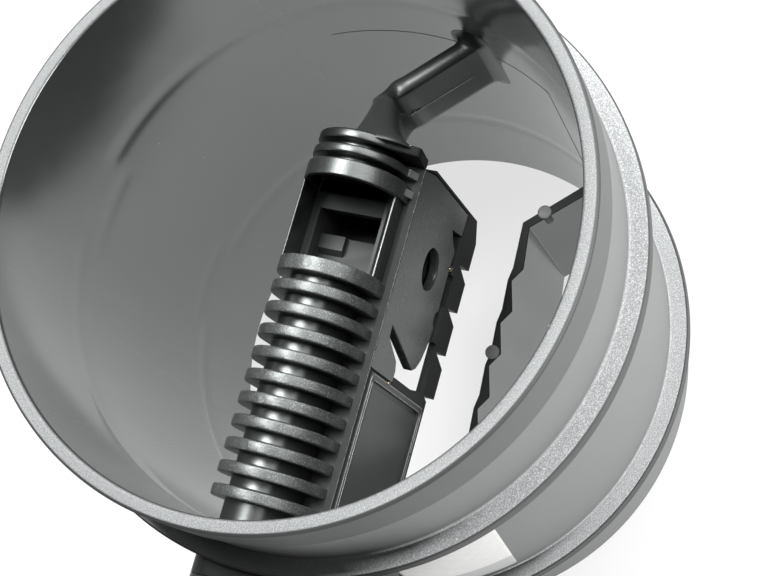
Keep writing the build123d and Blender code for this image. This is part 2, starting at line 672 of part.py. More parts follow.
def chip_box(gap):
    """The four sides of the sensing chip's seat."""
    x1, half = CARRIER_X1 - CHIP_EDGE, CHIP_H / 2
    return x1 - CHIP_W - gap, x1 + gap, CARRIER_MID_Z - half - gap, CARRIER_MID_Z + half + gap


def sensor_carrier():
    """The tongue that holds the sensing chip in the bypass channel."""
    half = CARRIER_H / 2
    x0 = PARTITION_X0 - CARRIER_LAP
    tongue = block(x0, CARRIER_X1, CARRIER_Y, BOARD_Y, CARRIER_MID_Z - half, CARRIER_MID_Z + half)
    cx0, cx1, cz0, cz1 = chip_box(CHIP_GAP)
    return tongue - block(cx0, cx1, CARRIER_Y - 1, CARRIER_Y + CHIP_T, cz0, cz1)


def sensor_chip():
    """The silicon chip with the heated membrane."""
    x0, x1, z0, z1 = chip_box(0)
    return block(x0, x1, CARRIER_Y, CARRIER_Y + CHIP_T, z0, z1)


def temperature_bead():
    """The air temperature bead on two leads."""
    half = BEAD_L / 2
    bead = rod_y(-half, half, BEAD_X, BEAD_Z, BEAD_R)
    for lead_z in LEAD_ZS:
        bead += rod_y(half - LEAD_R, BACK_Y + LEAD_DEPTH, BEAD_X, lead_z, LEAD_R)
    return bead


def paper_label():
    """The paper label on the tube's body."""
    profile = [
        (BODY_R, LABEL_Z0), (BODY_R + LABEL_T, LABEL_Z0), (BODY_R + LABEL_T, LABEL_Z1), (BODY_R, LABEL_Z1),
    ]
    outline = Polyline(*[(r, 0, z) for r, z in profile], close=True)
    return Rot(0, 0, LABEL_START) * revolve(make_face(outline), axis=Axis.Z, revolution_arc=LABEL_ARC)


def all_parts():
    """Every node by name."""
    parts = {
        "flow_tube": flow_tube(),
        "sensor_body": sensor_body(),
        "bypass_cover": bypass_cover(),
        "electronics_cover": electronics_cover(),
        "sealing_ring": sealing_ring(),
        "carrier_plate": carrier_plate(),
        "circuit_board": circuit_board(),
        "signal_chip": signal_chip(),
        "sensor_carrier": sensor_carrier(),
        "sensor_chip": sensor_chip(),
        "temperature_bead": temperature_bead(),
        "paper_label": paper_label(),
    }
    for k, (y, z) in enumerate(EARS):
        parts[f"mounting_screw_{k + 1}"] = mounting_screw(y, z)
    for k, z in enumerate(TERMINAL_ZS):
        parts[f"terminal_{k + 1}"] = terminal(z, 0)
    for k in range(CAPACITOR_COUNT):
        parts[f"capacitor_{k + 1}"] = capacitor(k)
    return parts


os.makedirs("parts", exist_ok=True)
for name, shape in all_parts().items():
    shape.label = name
    export_step(shape, f"parts/{name}.step")
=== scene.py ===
"""Dress a mass airflow sensor: moulded detail, finishes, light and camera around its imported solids.

Sizes are in millimetres and turn into metres as a mesh is made. Z is the tube's axis, with the outlet
plane at zero, and the sensing blade points to +X.
"""

import json
import logging
import math
from collections.abc import Sequence
from dataclasses import dataclass, field
from enum import Enum

import bmesh
import bpy
import numpy as np
from mathutils import Matrix, Vector

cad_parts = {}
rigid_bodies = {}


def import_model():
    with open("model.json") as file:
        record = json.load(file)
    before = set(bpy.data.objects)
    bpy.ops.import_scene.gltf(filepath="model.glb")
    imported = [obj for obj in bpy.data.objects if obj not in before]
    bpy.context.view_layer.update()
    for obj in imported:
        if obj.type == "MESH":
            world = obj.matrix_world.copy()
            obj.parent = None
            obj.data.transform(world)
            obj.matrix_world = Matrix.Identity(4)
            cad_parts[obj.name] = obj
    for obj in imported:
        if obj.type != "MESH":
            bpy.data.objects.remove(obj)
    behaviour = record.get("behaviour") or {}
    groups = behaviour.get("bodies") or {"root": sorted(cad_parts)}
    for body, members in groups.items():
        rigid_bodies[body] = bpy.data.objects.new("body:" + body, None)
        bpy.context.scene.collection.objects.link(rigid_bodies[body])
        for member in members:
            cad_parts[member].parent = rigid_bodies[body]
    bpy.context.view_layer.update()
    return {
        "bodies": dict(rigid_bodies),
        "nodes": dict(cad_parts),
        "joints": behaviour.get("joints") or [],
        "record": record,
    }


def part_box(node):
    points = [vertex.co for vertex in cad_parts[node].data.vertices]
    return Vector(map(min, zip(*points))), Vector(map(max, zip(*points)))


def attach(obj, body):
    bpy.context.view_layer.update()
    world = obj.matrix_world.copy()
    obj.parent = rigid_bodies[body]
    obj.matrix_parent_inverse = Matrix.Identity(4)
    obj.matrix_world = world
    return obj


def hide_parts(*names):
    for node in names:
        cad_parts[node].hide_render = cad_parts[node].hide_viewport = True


LOG = logging.getLogger("airflow_sensor")
MM = 0.001
BODY = "root"
MARKS = ("grain", "painted_light", "dull")
UP = np.array([0.0, 0.0, 1.0])
REARWARD = np.array([0.0, 1.0, 0.0])
AXIS_GAP = 0.02
Array = np.ndarray
Color = tuple[float, float, float]
Place = tuple[float, float, float]


class Slot(Enum):
    """The record's material slots, one named for each new piece."""

    TUBE = "tube_plastic"
    SENSOR = "sensor_plastic"
    COVER = "cover_plastic"
    STEEL = "screw_steel"
    BRASS = "terminal_brass"
    LABEL = "label_paper"


class Axis(Enum):
    """The direction that an outline is drawn out along, as the order of its coordinates."""

    X = (2, 0, 1)
    Z = (0, 1, 2)


def rounded_path(corners: list[tuple[float, float]], radii: list[float], steps: int = 5) -> Array:
    """Turn each corner of a closed outline into an arc that touches both of its sides.

    The arc starts radius * tan(turn / 2) before the corner, and its centre lies one radius to the side
    that the outline turns to. Each arc point is the start turned about the centre by a share of the turn.

    Args:
        corners: The outline's corners in order.
        radii: One radius for each corner, zero for a sharp one.
        steps: Points on each arc.

    Returns:
        The outline's points, without doubles.
    """
    p = np.asarray(corners, float)
    r = np.asarray(radii, float)
    into = p - np.roll(p, 1, 0)
    out = np.roll(p, -1, 0) - p
    into /= np.linalg.norm(into, axis=1)[:, None]
    out /= np.linalg.norm(out, axis=1)[:, None]
    turn = np.arctan2(into[:, 0] * out[:, 1] - into[:, 1] * out[:, 0], (into * out).sum(1))
    start = p - into * (r * np.tan(np.abs(turn) / 2))[:, None]
    left = np.stack([-into[:, 1], into[:, 0]], 1)
    centre = start + left * (np.sign(turn) * r)[:, None]
    angle = turn[:, None] * np.linspace(0, 1, steps)
    arm = (start - centre)[:, None, :]
    x = arm[..., 0] * np.cos(angle) - arm[..., 1] * np.sin(angle)
    y = arm[..., 0] * np.sin(angle) + arm[..., 1] * np.cos(angle)
    path = (centre[:, None, :] + np.stack([x, y], -1)).reshape(-1, 2)
    smallest = 1e-5
    gap = np.linalg.norm(path - np.roll(path, 1, 0), axis=1)
    return path[gap > smallest]


def inset(outline: Array, depth: float) -> Array:
    """Move a closed outline inwards by a depth.

    Each corner moves along the sum of its two side normals, scaled so that both sides move by the depth. The
    scale is held where two sides nearly fold back on each other.

    Args:
        outline: The outline's points in order.
        depth: How far each side moves in.

    Returns:
        The moved points.
    """
    into = outline - np.roll(outline, 1, 0)
    out = np.roll(outline, -1, 0) - outline
    into /= np.linalg.norm(into, axis=1)[:, None]
    out /= np.linalg.norm(out, axis=1)[:, None]
    x, y = outline.T
    side = np.sign(np.sum(x * np.roll(y, -1) - np.roll(x, -1) * y))
    n1 = np.stack([-into[:, 1], into[:, 0]], 1)
    n2 = np.stack([-out[:, 1], out[:, 0]], 1)
    sharpest = 0.3
    scale = side * depth / np.maximum(1 + (n1 * n2).sum(1), sharpest)
    return outline + scale[:, None] * (n1 + n2)


def ramp(value: Array, start: float | Array, span: float) -> Array:
    """Rise in a straight line from zero at a start to one a span further on, held at both ends."""
    return np.clip((value - start) / span, 0, 1)


@dataclass
class Surface:
    """A closed grid of points: rows of sections, each section a closed loop.

    Attributes:
        points: Positions in millimetres, rows by columns by three.
        ring: True where the last row joins the first, as on a lathe-turned ring.
        marks: Named shares for each point that the finish reads: grain, painted light and dull.
    """

    points: Array
    ring: bool = False
    marks: dict[str, Array] = field(default_factory=dict)

    def share(self, name: str) -> Array:
        """One named share for every point, zero where the surface has none."""
        return np.broadcast_to(self.marks.get(name, np.zeros(1)), self.points.shape[:2]).ravel()

    def faces(self, first: int) -> list[list[int]]:
        """List the grid's faces, turned outwards.

        A closed surface has a positive volume when its faces point outwards, so a negative sum of the
        corner determinants turns every face round.

        Args:
            first: The index of the surface's first vertex in its mesh.

        Returns:
            The quads, and one cap at each end of an open stack.
        """
        rows, cols, _ = self.points.shape
        i, j = np.meshgrid(np.arange(rows if self.ring else rows - 1), np.arange(cols), indexing="ij")
        i2, j2 = (i + 1) % rows, (j + 1) % cols
        quads = np.stack([i * cols + j, i2 * cols + j, i2 * cols + j2, i * cols + j2], -1).reshape(-1, 4)
        flat = self.points.reshape(-1, 3)
        flat = flat - flat.mean(0)
        a, b, c, d = (flat[quads[:, k]] for k in range(4))
        volume = np.sum(a * np.cross(b, c)) + np.sum(a * np.cross(c, d))
        caps = [] if self.ring else [np.arange(cols)[::-1], np.arange(cols) + (rows - 1) * cols]
        if not self.ring:
            cap_low = np.cross(np.roll(flat[:cols], -1, 0), flat[:cols])
            volume += np.sum(cap_low @ flat[:cols].mean(0))
            last = flat[-cols:]
            cap_high = np.cross(last, np.roll(last, -1, 0))
            volume += np.sum(cap_high @ last.mean(0))
        found = [*quads, *caps]
        if volume < 0:
            found = [face[::-1] for face in found]
        return [(np.asarray(face) + first).tolist() for face in found]


def lathe(profile: Array, turns: int = 224) -> Surface:
    """Turn a closed outline of (radius, height) about Z: x = r cos a, y = r sin a.

    Args:
        profile: The outline's points.
        turns: Sections round the axis.

    Returns:
        The ring-shaped surface, a row for each profile point.
    """
    angle = np.linspace(0, 2 * np.pi, turns, endpoint=False)
    r, z = profile[:, :1], profile[:, 1:]
    points = np.stack([r * np.cos(angle), r * np.sin(angle), z + 0 * angle], -1)
    return Surface(points, ring=True)


def knob(centre: Array, axis: Array, outline: Sequence[tuple[float, float]], turns: int = 40) -> Surface:
    """Turn an open outline of (radius, height) about an axis through a centre.

    A point is the centre plus r (cos a u + sin a v) plus h times the axis, where u and v lie square to the
    axis and to each other, u square to a slanted direction that no axis here has.

    Args:
        centre: The point at height zero.
        axis: The direction of growing height.
        outline: The points from the lower end to the upper end.
        turns: Points round the axis.

    Returns:
        The surface, with a cap at each end.
    """
    w = np.asarray(axis, float) / np.linalg.norm(axis)
    slanted = [0.3, 0.5, 0.8]
    u = np.cross(w, slanted)
    u /= np.linalg.norm(u)
    v = np.cross(w, u)
    angle = np.linspace(0, 2 * np.pi, turns, endpoint=False)[None, :, None]
    r, h = (np.asarray(outline, float)[:, k][:, None, None] for k in (0, 1))
    return Surface(np.asarray(centre, float) + r * (np.cos(angle) * u + np.sin(angle) * v) + h * w)


def prism(outline: Array, axis: Axis, low: float, high: float, edge: float, steps: int = 4) -> Surface:
    """Draw an outline out along an axis, with a rounded edge at both ends.

    The end rows follow a quarter circle: inset edge * (1 - sin a) at depth edge * (1 - cos a).

    Args:
        outline: The closed outline in the plane across the axis.
        axis: The direction to draw along.
        low: The lower end.
        high: The upper end.
        edge: The radius of the end edges.
        steps: Rows on each end edge.

    Returns:
        The closed surface.
    """
    angle = np.linspace(0, np.pi / 2, steps)
    depths = edge * (1 - np.sin(angle))
    heights = edge * (1 - np.cos(angle))
    levels = np.concatenate([low + heights, (high - heights)[::-1]])
    insets = np.concatenate([depths, depths[::-1]])
    rows = [np.column_stack([inset(outline, d), np.full(len(outline), h)]) for d, h in zip(insets, levels)]
    return Surface(np.stack(rows)[..., list(axis.value)])


def bead(path: Array, across: Array, radius: float, closed: bool = False, points: int = 10) -> Surface:
    """Carry a small circle along a path.

    The circle lies in the plane of one given direction and the direction square to it and to the path. An
    open path's two end circles are smaller.

    Args:
        path: The path's points.
        across: A direction square to the path.
        radius: The circle's radius.
        closed: True where the path's end meets its start.
        points: Points round the circle.

    Returns:
        The closed surface.
    """
    end_share = 0.2
    ahead = np.roll(path, -1, 0) - np.roll(path, 1, 0) if closed else np.gradient(path, axis=0)
    u = np.broadcast_to(np.asarray(across, float), path.shape)
    v = np.cross(ahead, u)
    v = v / np.linalg.norm(v, axis=1)[:, None]
    t = np.linspace(0, 2 * np.pi, points, endpoint=False)[None, :, None]
    size = np.full(len(path), radius)
    if not closed:
        size[[0, -1]] *= end_share
    circle = np.cos(t) * u[:, None] + np.sin(t) * v[:, None]
    return Surface(path[:, None] + size[:, None, None] * circle, ring=closed)


def spline_rows(keys: Array, steps: int) -> Array:
    """Run a smooth curve through matching points of key sections.

    Between two keys the curve is the cubic whose end slopes are half the difference of the neighbours.

    Args:
        keys: Key sections, keys by points by three.
        steps: Rows between one key and the next.

    Returns:
        The rows of points, the last key included.
    """
    padded = np.concatenate([2 * keys[:1] - keys[1:2], keys, 2 * keys[-1:] - keys[-2:-1]])
    t = np.linspace(0, 1, steps, endpoint=False)[None, :, None, None]
    p0, p1, p2, p3 = (padded[k : k + len(keys) - 1][:, None] for k in range(4))
    rows = 0.5 * (
        2 * p1 + (p2 - p0) * t + (2 * p0 - 5 * p1 + 4 * p2 - p3) * t**2 + (3 * p1 - p0 - 3 * p2 + p3) * t**3
    )
    return np.concatenate([rows.reshape(-1, *keys.shape[1:]), keys[-1:]])


class NodeGraph:
    """A material's node tree, with short calls that add and join nodes."""

    def __init__(self, name: str) -> None:
        """Start a material with its principled shader.

        Args:
            name: The material's name.
        """
        self.material = bpy.data.materials.new(name)
        self.material.use_nodes = True
        self.tree = self.material.node_tree
        self.shader = self.tree.nodes["Principled BSDF"]
        self.place = self.add("ShaderNodeTexCoord").outputs["Object"]

    def add(self, kind: str, **settings: object) -> bpy.types.Node:
        """Add a node and set its options.

        Args:
            kind: The node's type name.
            settings: Options to set on the node.

        Returns:
            The new node.
        """
        node = self.tree.nodes.new(kind)
        for key, value in settings.items():
            setattr(node, key, value)
        return node

    def join(self, source: object, target: bpy.types.NodeSocket) -> None:
        """Link a socket to a target, or set the target to a plain value.

        Args:
            source: An output socket, a number or a colour.
            target: The input socket.
        """
        if isinstance(source, bpy.types.NodeSocket):
            self.tree.links.new(source, target)
        elif isinstance(source, tuple):
            target.default_value = (*source, 1.0)
        else:
            target.default_value = source

    def noise(self, scale: float, detail: float = 2.0) -> bpy.types.NodeSocket:
        """Add a noise pattern.

        Args:
            scale: Repeats to a metre.
            detail: Octaves of finer noise.

        Returns:
            The noise value.
        """
        node = self.add("ShaderNodeTexNoise")
        node.inputs["Scale"].default_value = scale
        node.inputs["Detail"].default_value = detail
        self.join(self.place, node.inputs["Vector"])
        return node.outputs["Fac"]

    def remap(
        self, value: bpy.types.NodeSocket, span: tuple[float, float], to: tuple[float, float] = (0.0, 1.0)
    ) -> bpy.types.NodeSocket:
        """Map a value from one span to another, held at the ends.

        Args:
            value: The value to map.
            span: Its lower and upper mark.
            to: What the marks become.

        Returns:
            The mapped value.
        """
        node = self.add("ShaderNodeMapRange")
        self.join(value, node.inputs["Value"])
        for socket, number in zip(("From Min", "From Max", "To Min", "To Max"), (*span, *to)):
            node.inputs[socket].default_value = number
        return node.outputs["Result"]

    def math(self, operation: str, a: object, b: object) -> bpy.types.NodeSocket:
        """Combine two values.

        Args:
            operation: The operation's name.
            a: The first value.
            b: The second value.

        Returns:
            The result.
        """
        node = self.add("ShaderNodeMath", operation=operation)
        self.join(a, node.inputs[0])
        self.join(b, node.inputs[1])
        return node.outputs["Value"]

    def mix(self, factor: object, a: object, b: object) -> bpy.types.NodeSocket:
        """Mix two colours.

        Args:
            factor: The second colour's share.
            a: The first colour.
            b: The second colour.

        Returns:
            The mixed colour.
        """
        node = self.add("ShaderNodeMix", data_type="RGBA")
        self.join(factor, node.inputs[0])
        self.join(a, node.inputs[6])
        self.join(b, node.inputs[7])
        return node.outputs[2]

    def attribute(self, name: str) -> bpy.types.NodeSocket:
        """Read a value that the mesh carries under a name."""
        return self.add("ShaderNodeAttribute", attribute_name=name).outputs["Fac"]

    def dust(self, scale: float, radius: float, share: float) -> bpy.types.NodeSocket:
        """Scatter small dots: the nearest cell's centre is near, and the cell is one of a chosen share.

        Args:
            scale: Cells to a metre.
            radius: Dot radius as a share of a cell.
            share: Share of the cells that hold a dot.

        Returns:
            The dots' mask.
        """
        solid = 0.6 * radius
        node = self.add("ShaderNodeTexVoronoi")
        node.inputs["Scale"].default_value = scale
        self.join(self.place, node.inputs["Vector"])
        pick = self.add("ShaderNodeSeparateColor")
        self.join(node.outputs["Color"], pick.inputs["Color"])
        near = self.remap(node.outputs["Distance"], (solid, radius), (1.0, 0.0))
        return self.math("MULTIPLY", near, self.math("LESS_THAN", pick.outputs["Red"], share))

    def bump(self, height: bpy.types.NodeSocket, depth: float) -> None:
        """Give the shader a fine relief.

        Args:
            height: The relief's height, from zero to one.
            depth: The relief's full depth in millimetres.
        """
        node = self.add("ShaderNodeBump")
        node.inputs["Distance"].default_value = depth * MM
        self.join(height, node.inputs["Height"])
        self.join(node.outputs["Normal"], self.shader.inputs["Normal"])

    def whiten(self, share: float) -> None:
        """Show part of the surface as plain white to the eye and in reflections, and keep the rest lit.

        Args:
            share: The white's share.
        """
        path = self.add("ShaderNodeLightPath")
        seen = self.math("MAXIMUM", path.outputs["Is Camera Ray"], path.outputs["Is Glossy Ray"])
        seen = self.math("MAXIMUM", seen, path.outputs["Is Transmission Ray"])
        glow = self.add("ShaderNodeEmission")
        blend = self.add("ShaderNodeMixShader")
        self.join(self.math("MULTIPLY", seen, share), blend.inputs[0])
        self.join(self.shader.outputs[0], blend.inputs[1])
        self.join(glow.outputs[0], blend.inputs[2])
        self.join(blend.outputs[0], self.tree.nodes["Material Output"].inputs["Surface"])

    def finish(self, color: object, roughness: object, metallic: float = 0.0) -> bpy.types.Material:
        """Set the shader's main values.

        Args:
            color: Base colour.
            roughness: Roughness.
            metallic: One for a metal.

        Returns:
            The finished material.
        """
        self.join(color, self.shader.inputs["Base Color"])
        self.join(roughness, self.shader.inputs["Roughness"])
        self.shader.inputs["Metallic"].default_value = metallic
        return self.material


def toned(color: Color, share: float) -> Color:
    """A colour made darker or lighter by a share."""
    return tuple(share * c for c in color)


@dataclass(frozen=True)
class MouldedPlastic:
    """Glass-filled black plastic: satin where the mould was polished, speckled where it was spark-eroded.

    Attributes:
        name: The material's name.
        color: Colour of the satin surface.
        grain_color: Colour of the flecks on the eroded surface.
        painted_light_color: Colour that the painted light mark mixes in, a painted sheen and painted light.
        painted_glint_color: Colour of the few brightest flecks, painted glints.
        roughness: Roughness of the satin surface.
        grain_roughness: Roughness of the eroded surface.
        gloss: Strength of the reflection.
        index: Refractive index of the clear top layer.
        tint: Colour of the reflection seen straight on.
        dull_roughness: Roughness where handling has dulled the surface.
        dull_gloss: Strength of the reflection there.
        dust: Share of the dust cells that hold a speck.
        dust_color: Colour of the specks.
        grain_depth: Depth of the eroded surface in millimetres.
        fleck_scale: Flecks to a metre.
    """

    name: str
    color: Color = (0.06, 0.062, 0.065)
    grain_color: Color = (0.46, 0.475, 0.48)
    painted_light_color: Color = (0.15, 0.154, 0.152)
    painted_glint_color: Color = (0.46, 0.475, 0.48)
    roughness: float = 0.33
    grain_roughness: float = 0.55
    gloss: float = 0.8
    index: float = 1.5
    tint: Color = (0.94, 1.0, 0.98)
    dull_roughness: float = 0.62
    dull_gloss: float = 0.12
    dust: float = 0.1
    dust_color: Color = (0.55, 0.55, 0.52)
    grain_depth: float = 0.05
    fleck_scale: float = 5200.0

    def satin(self, g: NodeGraph) -> bpy.types.NodeSocket:
        """The polished surface's colour, cloudy, and lightened by the painted light mark as painted sheen.

        Args:
            g: The material's nodes.

        Returns:
            The colour.
        """
        cloud = g.remap(g.noise(45.0, 3.0), (0.3, 0.7))
        clouded = g.mix(cloud, toned(self.color, 0.86), toned(self.color, 1.16))
        # The painted light mark mixes in a lighter colour: painted sheen and painted light.
        return g.mix(g.attribute("painted_light"), clouded, self.painted_light_color)

    def eroded(self, g: NodeGraph) -> bpy.types.NodeSocket:
        """The spark-eroded surface's colour: flecks on a darker base, and a few bright painted glints.

        Args:
            g: The material's nodes.

        Returns:
            The colour.
        """
        fleck = g.remap(g.noise(self.fleck_scale), (0.42, 0.68))
        flecked = g.mix(fleck, toned(self.grain_color, 0.55), self.grain_color)
        # A few flecks take the brighter colour: painted glints.
        return g.mix(g.remap(g.noise(6500.0, 1.0), (0.58, 0.7)), flecked, self.painted_glint_color)

    def material(self) -> bpy.types.Material:
        """Build the material from its noise, flecks and dust.

        The marks steer it: grain shows the eroded surface, painted light mixes in a painted sheen, and dull
        roughens the surface and takes its reflection away, wholly so a little past one.

        Returns:
            The material.
        """
        g = NodeGraph(self.name)
        grain, dull = g.attribute("grain"), g.attribute("dull")
        color = g.mix(grain, self.satin(g), self.eroded(g))
        color = g.mix(g.dust(330.0, 0.05, self.dust), color, self.dust_color)
        rub = g.remap(g.noise(160.0, 4.0), (0.2, 0.8), (-0.02, 0.02))
        grained = g.remap(grain, (0.0, 1.0), (self.roughness, self.grain_roughness))
        rough = g.math("MAXIMUM", grained, g.remap(dull, (0.0, 1.0), (0.0, self.dull_roughness)))
        g.bump(g.math("MULTIPLY", g.noise(self.fleck_scale), grain), self.grain_depth)
        dead = self.gloss / (self.gloss - self.dull_gloss)
        g.join(g.remap(dull, (0.0, dead), (self.gloss, 0.0)), g.shader.inputs["Specular IOR Level"])
        g.shader.inputs["IOR"].default_value = self.index
        g.shader.inputs["Specular Tint"].default_value = (*self.tint, 1.0)
        return g.finish(color, g.math("ADD", rough, rub))


@dataclass(frozen=True)
class PlainMetal:
    """A plated or rolled metal with fine streaks.

    Attributes:
        name: The material's name.
        color: Base colour.
        roughness: Middle roughness.
        relief: Depth of the fine relief in millimetres.
    """

    name: str
    color: Color
    roughness: float = 0.32
    relief: float = 0.02

    def material(self) -> bpy.types.Material:
        """Build the material with a cloudy roughness and slight tarnish.

        Returns:
            The material.
        """
        g = NodeGraph(self.name)
        tarnish = g.remap(g.noise(420.0, 3.0), (0.45, 0.75), (0.0, 0.5))
        color = g.mix(tarnish, self.color, toned(self.color, 0.6))
        rough = g.remap(g.noise(900.0, 3.0), (0.3, 0.7), (self.roughness - 0.08, self.roughness + 0.1))
        g.bump(g.noise(1500.0), self.relief)
        return g.finish(color, rough, 1.0)


@dataclass(frozen=True)
class PlainSolid:
    """A dull solid such as rubber, resin, laminate or fired ceramic, with a mottled tone.

    Attributes:
        name: The material's name.
        color: Base colour.
        roughness: Middle roughness.
        relief: Depth of the fine relief in millimetres.
    """

    name: str
    color: Color
    roughness: float = 0.55
    relief: float = 0.03

    def material(self) -> bpy.types.Material:
        """Build the material with a mottled tone and a fine relief.

        Returns:
            The material.
        """
        g = NodeGraph(self.name)
        mottle = g.remap(g.noise(350.0, 4.0), (0.3, 0.7))
        color = g.mix(mottle, toned(self.color, 0.82), toned(self.color, 1.12))
        rough = g.remap(g.noise(800.0), (0.3, 0.7), (self.roughness - 0.06, self.roughness + 0.06))
        g.bump(g.noise(2600.0), self.relief)
        return g.finish(color, rough)


@dataclass(frozen=True)
class LabelPaper:
    """White paper with a grey field along its lower part.

    Attributes:
        name: The material's name.
        paper: Colour of the paper.
        field: Colour of the printed field.
        field_z: Height of the field's upper edge, in millimetres.
        blur: Half width of that edge, in millimetres.
        relief: Depth of the fibres in millimetres.
    """

    name: str
    paper: Color = (0.6, 0.6, 0.585)
    field: Color = (0.38, 0.385, 0.385)
    field_z: float = 33.0
    blur: float = 0.1
    relief: float = 0.02

    def material(self) -> bpy.types.Material:
        """Build the paper with its field and a fibrous mottle.

        Returns:
            The material.
        """
        g = NodeGraph(self.name)
        split = g.add("ShaderNodeSeparateXYZ")
        g.join(g.place, split.inputs["Vector"])
        edge = ((self.field_z - self.blur) * MM, (self.field_z + self.blur) * MM)
        below = g.remap(split.outputs["Z"], edge, (1.0, 0.0))
        mottle = g.remap(g.noise(700.0, 5.0), (0.35, 0.65))
        paper = g.mix(mottle, toned(self.paper, 0.93), self.paper)
        color = g.mix(below, paper, self.field)
        g.bump(g.noise(3000.0), self.relief)
        return g.finish(color, 0.6)


Finish = MouldedPlastic | PlainMetal | PlainSolid | LabelPaper


class Workshop:
    """Makes objects from surfaces and solids, and keeps each finish once."""

    flat_weight: int = 80
    weld: float = 1e-6
    flat_angle: float = 0.5
    edge_angle: float = 32.0
    edge_steps: int = 2

    def __init__(self, frame: dict) -> None:
        """Keep the nodes of the loaded frame at hand."""
        self.nodes: dict[str, bpy.types.Object] = frame["nodes"]
        self.finishes: dict[str, bpy.types.Material] = {}

    def material(self, finish: Finish) -> bpy.types.Material:
        """Give a finish's material, made at its first use.

        Args:
            finish: The finish.

        Returns:
            Its material.
        """
        if finish.name not in self.finishes:
            self.finishes[finish.name] = finish.material()
        return self.finishes[finish.name]

    def piece(self, name: str, surfaces: list[Surface], finish: Finish, slot: Slot) -> bpy.types.Object:
        """Put surfaces into one mesh object that rides on the part.

        Args:
            name: The piece's name.
            surfaces: Its closed surfaces, in millimetres.
            finish: Its finish.
            slot: Not used.

        Returns:
            The new object.
        """
        faces: list[list[int]] = []
        first = 0
        for surface in surfaces:
            faces += surface.faces(first)
            first += surface.points.shape[0] * surface.points.shape[1]
        points = np.concatenate([s.points.reshape(-1, 3) for s in surfaces])
        mesh = bpy.data.meshes.new(name)
        mesh.from_pydata((points * MM).tolist(), [], faces)
        for mark in MARKS:
            shares = np.concatenate([s.share(mark) for s in surfaces]).astype(np.float32)
            mesh.attributes.new(mark, "FLOAT", "POINT").data.foreach_set("value", shares)
        mesh.polygons.foreach_set("use_smooth", np.ones(len(mesh.polygons), bool))
        mesh.validate()
        obj = bpy.data.objects.new(name, mesh)
        bpy.context.scene.collection.objects.link(obj)
        obj.modifiers.new("flat_faces", "WEIGHTED_NORMAL").weight = self.flat_weight
        return self.dress(obj, finish)

    def dress(self, obj: bpy.types.Object, finish: Finish) -> bpy.types.Object:
        """Give a new object its finish and body.

        Args:
            obj: The object.
            finish: Its finish.

        Returns:
            The same object.
        """
        obj.data.materials.clear()
        obj.data.materials.append(self.material(finish))
        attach(obj, BODY)
        LOG.info("%s: %d faces", obj.name, len(obj.data.polygons))
        return obj

    def eased_copy(
        self, node: str, finish: Finish, slot: Slot, edge: float, quiet: tuple[Place, Place] | None = None
    ) -> bpy.types.Object:
        """Stand in for a solid with a copy whose edges are slightly rounded.

        The copy's loose triangles are merged and its flat faces joined before the edges are rounded.

        Args:
            node: The solid's name.
            finish: The copy's finish.
            slot: Not used.
            edge: The width of the rounded edges in millimetres.
            quiet: Two corners of a box, in millimetres, where the surface is dull.

        Returns:
            The new object.
        """
        mesh = bpy.data.meshes.new(f"{node}_eased")
        work = bmesh.new()
        work.from_mesh(self.nodes[node].data)
        bmesh.ops.remove_doubles(work, verts=work.verts, dist=self.weld)
        flat = math.radians(self.flat_angle)
        bmesh.ops.dissolve_limit(work, angle_limit=flat, verts=work.verts, edges=work.edges)
        work.to_mesh(mesh)
        work.free()
        mesh.polygons.foreach_set("use_smooth", np.ones(len(mesh.polygons), bool))
        if quiet is not None:
            places = np.empty(3 * len(mesh.vertices), np.float32)
            mesh.vertices.foreach_get("co", places)
            places = places.reshape(-1, 3) / MM
            inside = ((places > quiet[0]) & (places < quiet[1])).all(1).astype(np.float32)
            mesh.attributes.new("dull", "FLOAT", "POINT").data.foreach_set("value", inside)
        obj = bpy.data.objects.new(mesh.name, mesh)
        bpy.context.scene.collection.objects.link(obj)
        bevel = obj.modifiers.new("eased_edges", "BEVEL")
        bevel.width = edge * MM
        bevel.segments = self.edge_steps
        bevel.limit_method = "ANGLE"
        bevel.angle_limit = math.radians(self.edge_angle)
        bevel.harden_normals = False
        obj.modifiers.new("flat_faces", "WEIGHTED_NORMAL").weight = self.flat_weight
        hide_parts(node)
        return self.dress(obj, finish)

    def paint(self, node: str, finish: Finish) -> None:
        """Give a solid that stays as it is a better finish.

        Args:
            node: The solid's name.
            finish: Its finish.
        """
        materials = self.nodes[node].data.materials
        materials.clear()
        materials.append(self.material(finish))
        LOG.info("%s: painted %s", node, finish.name)


TUBE_FINISH = MouldedPlastic(
    "tube_satin_plastic",
    color=(0.03, 0.031, 0.0305),
    grain_color=(0.62, 0.63, 0.64),
    painted_glint_color=(0.85, 0.86, 0.87),
    roughness=0.16,
    gloss=1.0,
    index=1.85,
)
PROBE_FINISH = MouldedPlastic(
    "probe_black_plastic",
    color=(0.012, 0.0125, 0.0125),
    grain_color=(0.05, 0.052, 0.053),
    painted_glint_color=(0.24, 0.25, 0.24),
    grain_roughness=0.33,
    gloss=0.72,
    index=1.7,
)
SENSOR_FINISH = MouldedPlastic(
    "sensor_matte_plastic", color=(0.042, 0.043, 0.044), roughness=0.55, gloss=0.45, dust=0.25
)
STRUT_FINISH = MouldedPlastic("strut_black_plastic", color=(0.035, 0.037, 0.036), roughness=0.37, gloss=1.0)
SHOULDER_FINISH = MouldedPlastic(
    "shoulder_matte_plastic", color=(0.028, 0.029, 0.029), roughness=0.5, gloss=0.4
)
# Painted highlight: bright metal on the strut's flash line.
FLASH_HIGHLIGHT_FINISH = PlainMetal("flash_painted_highlight", (0.92, 0.92, 0.9), 0.3)
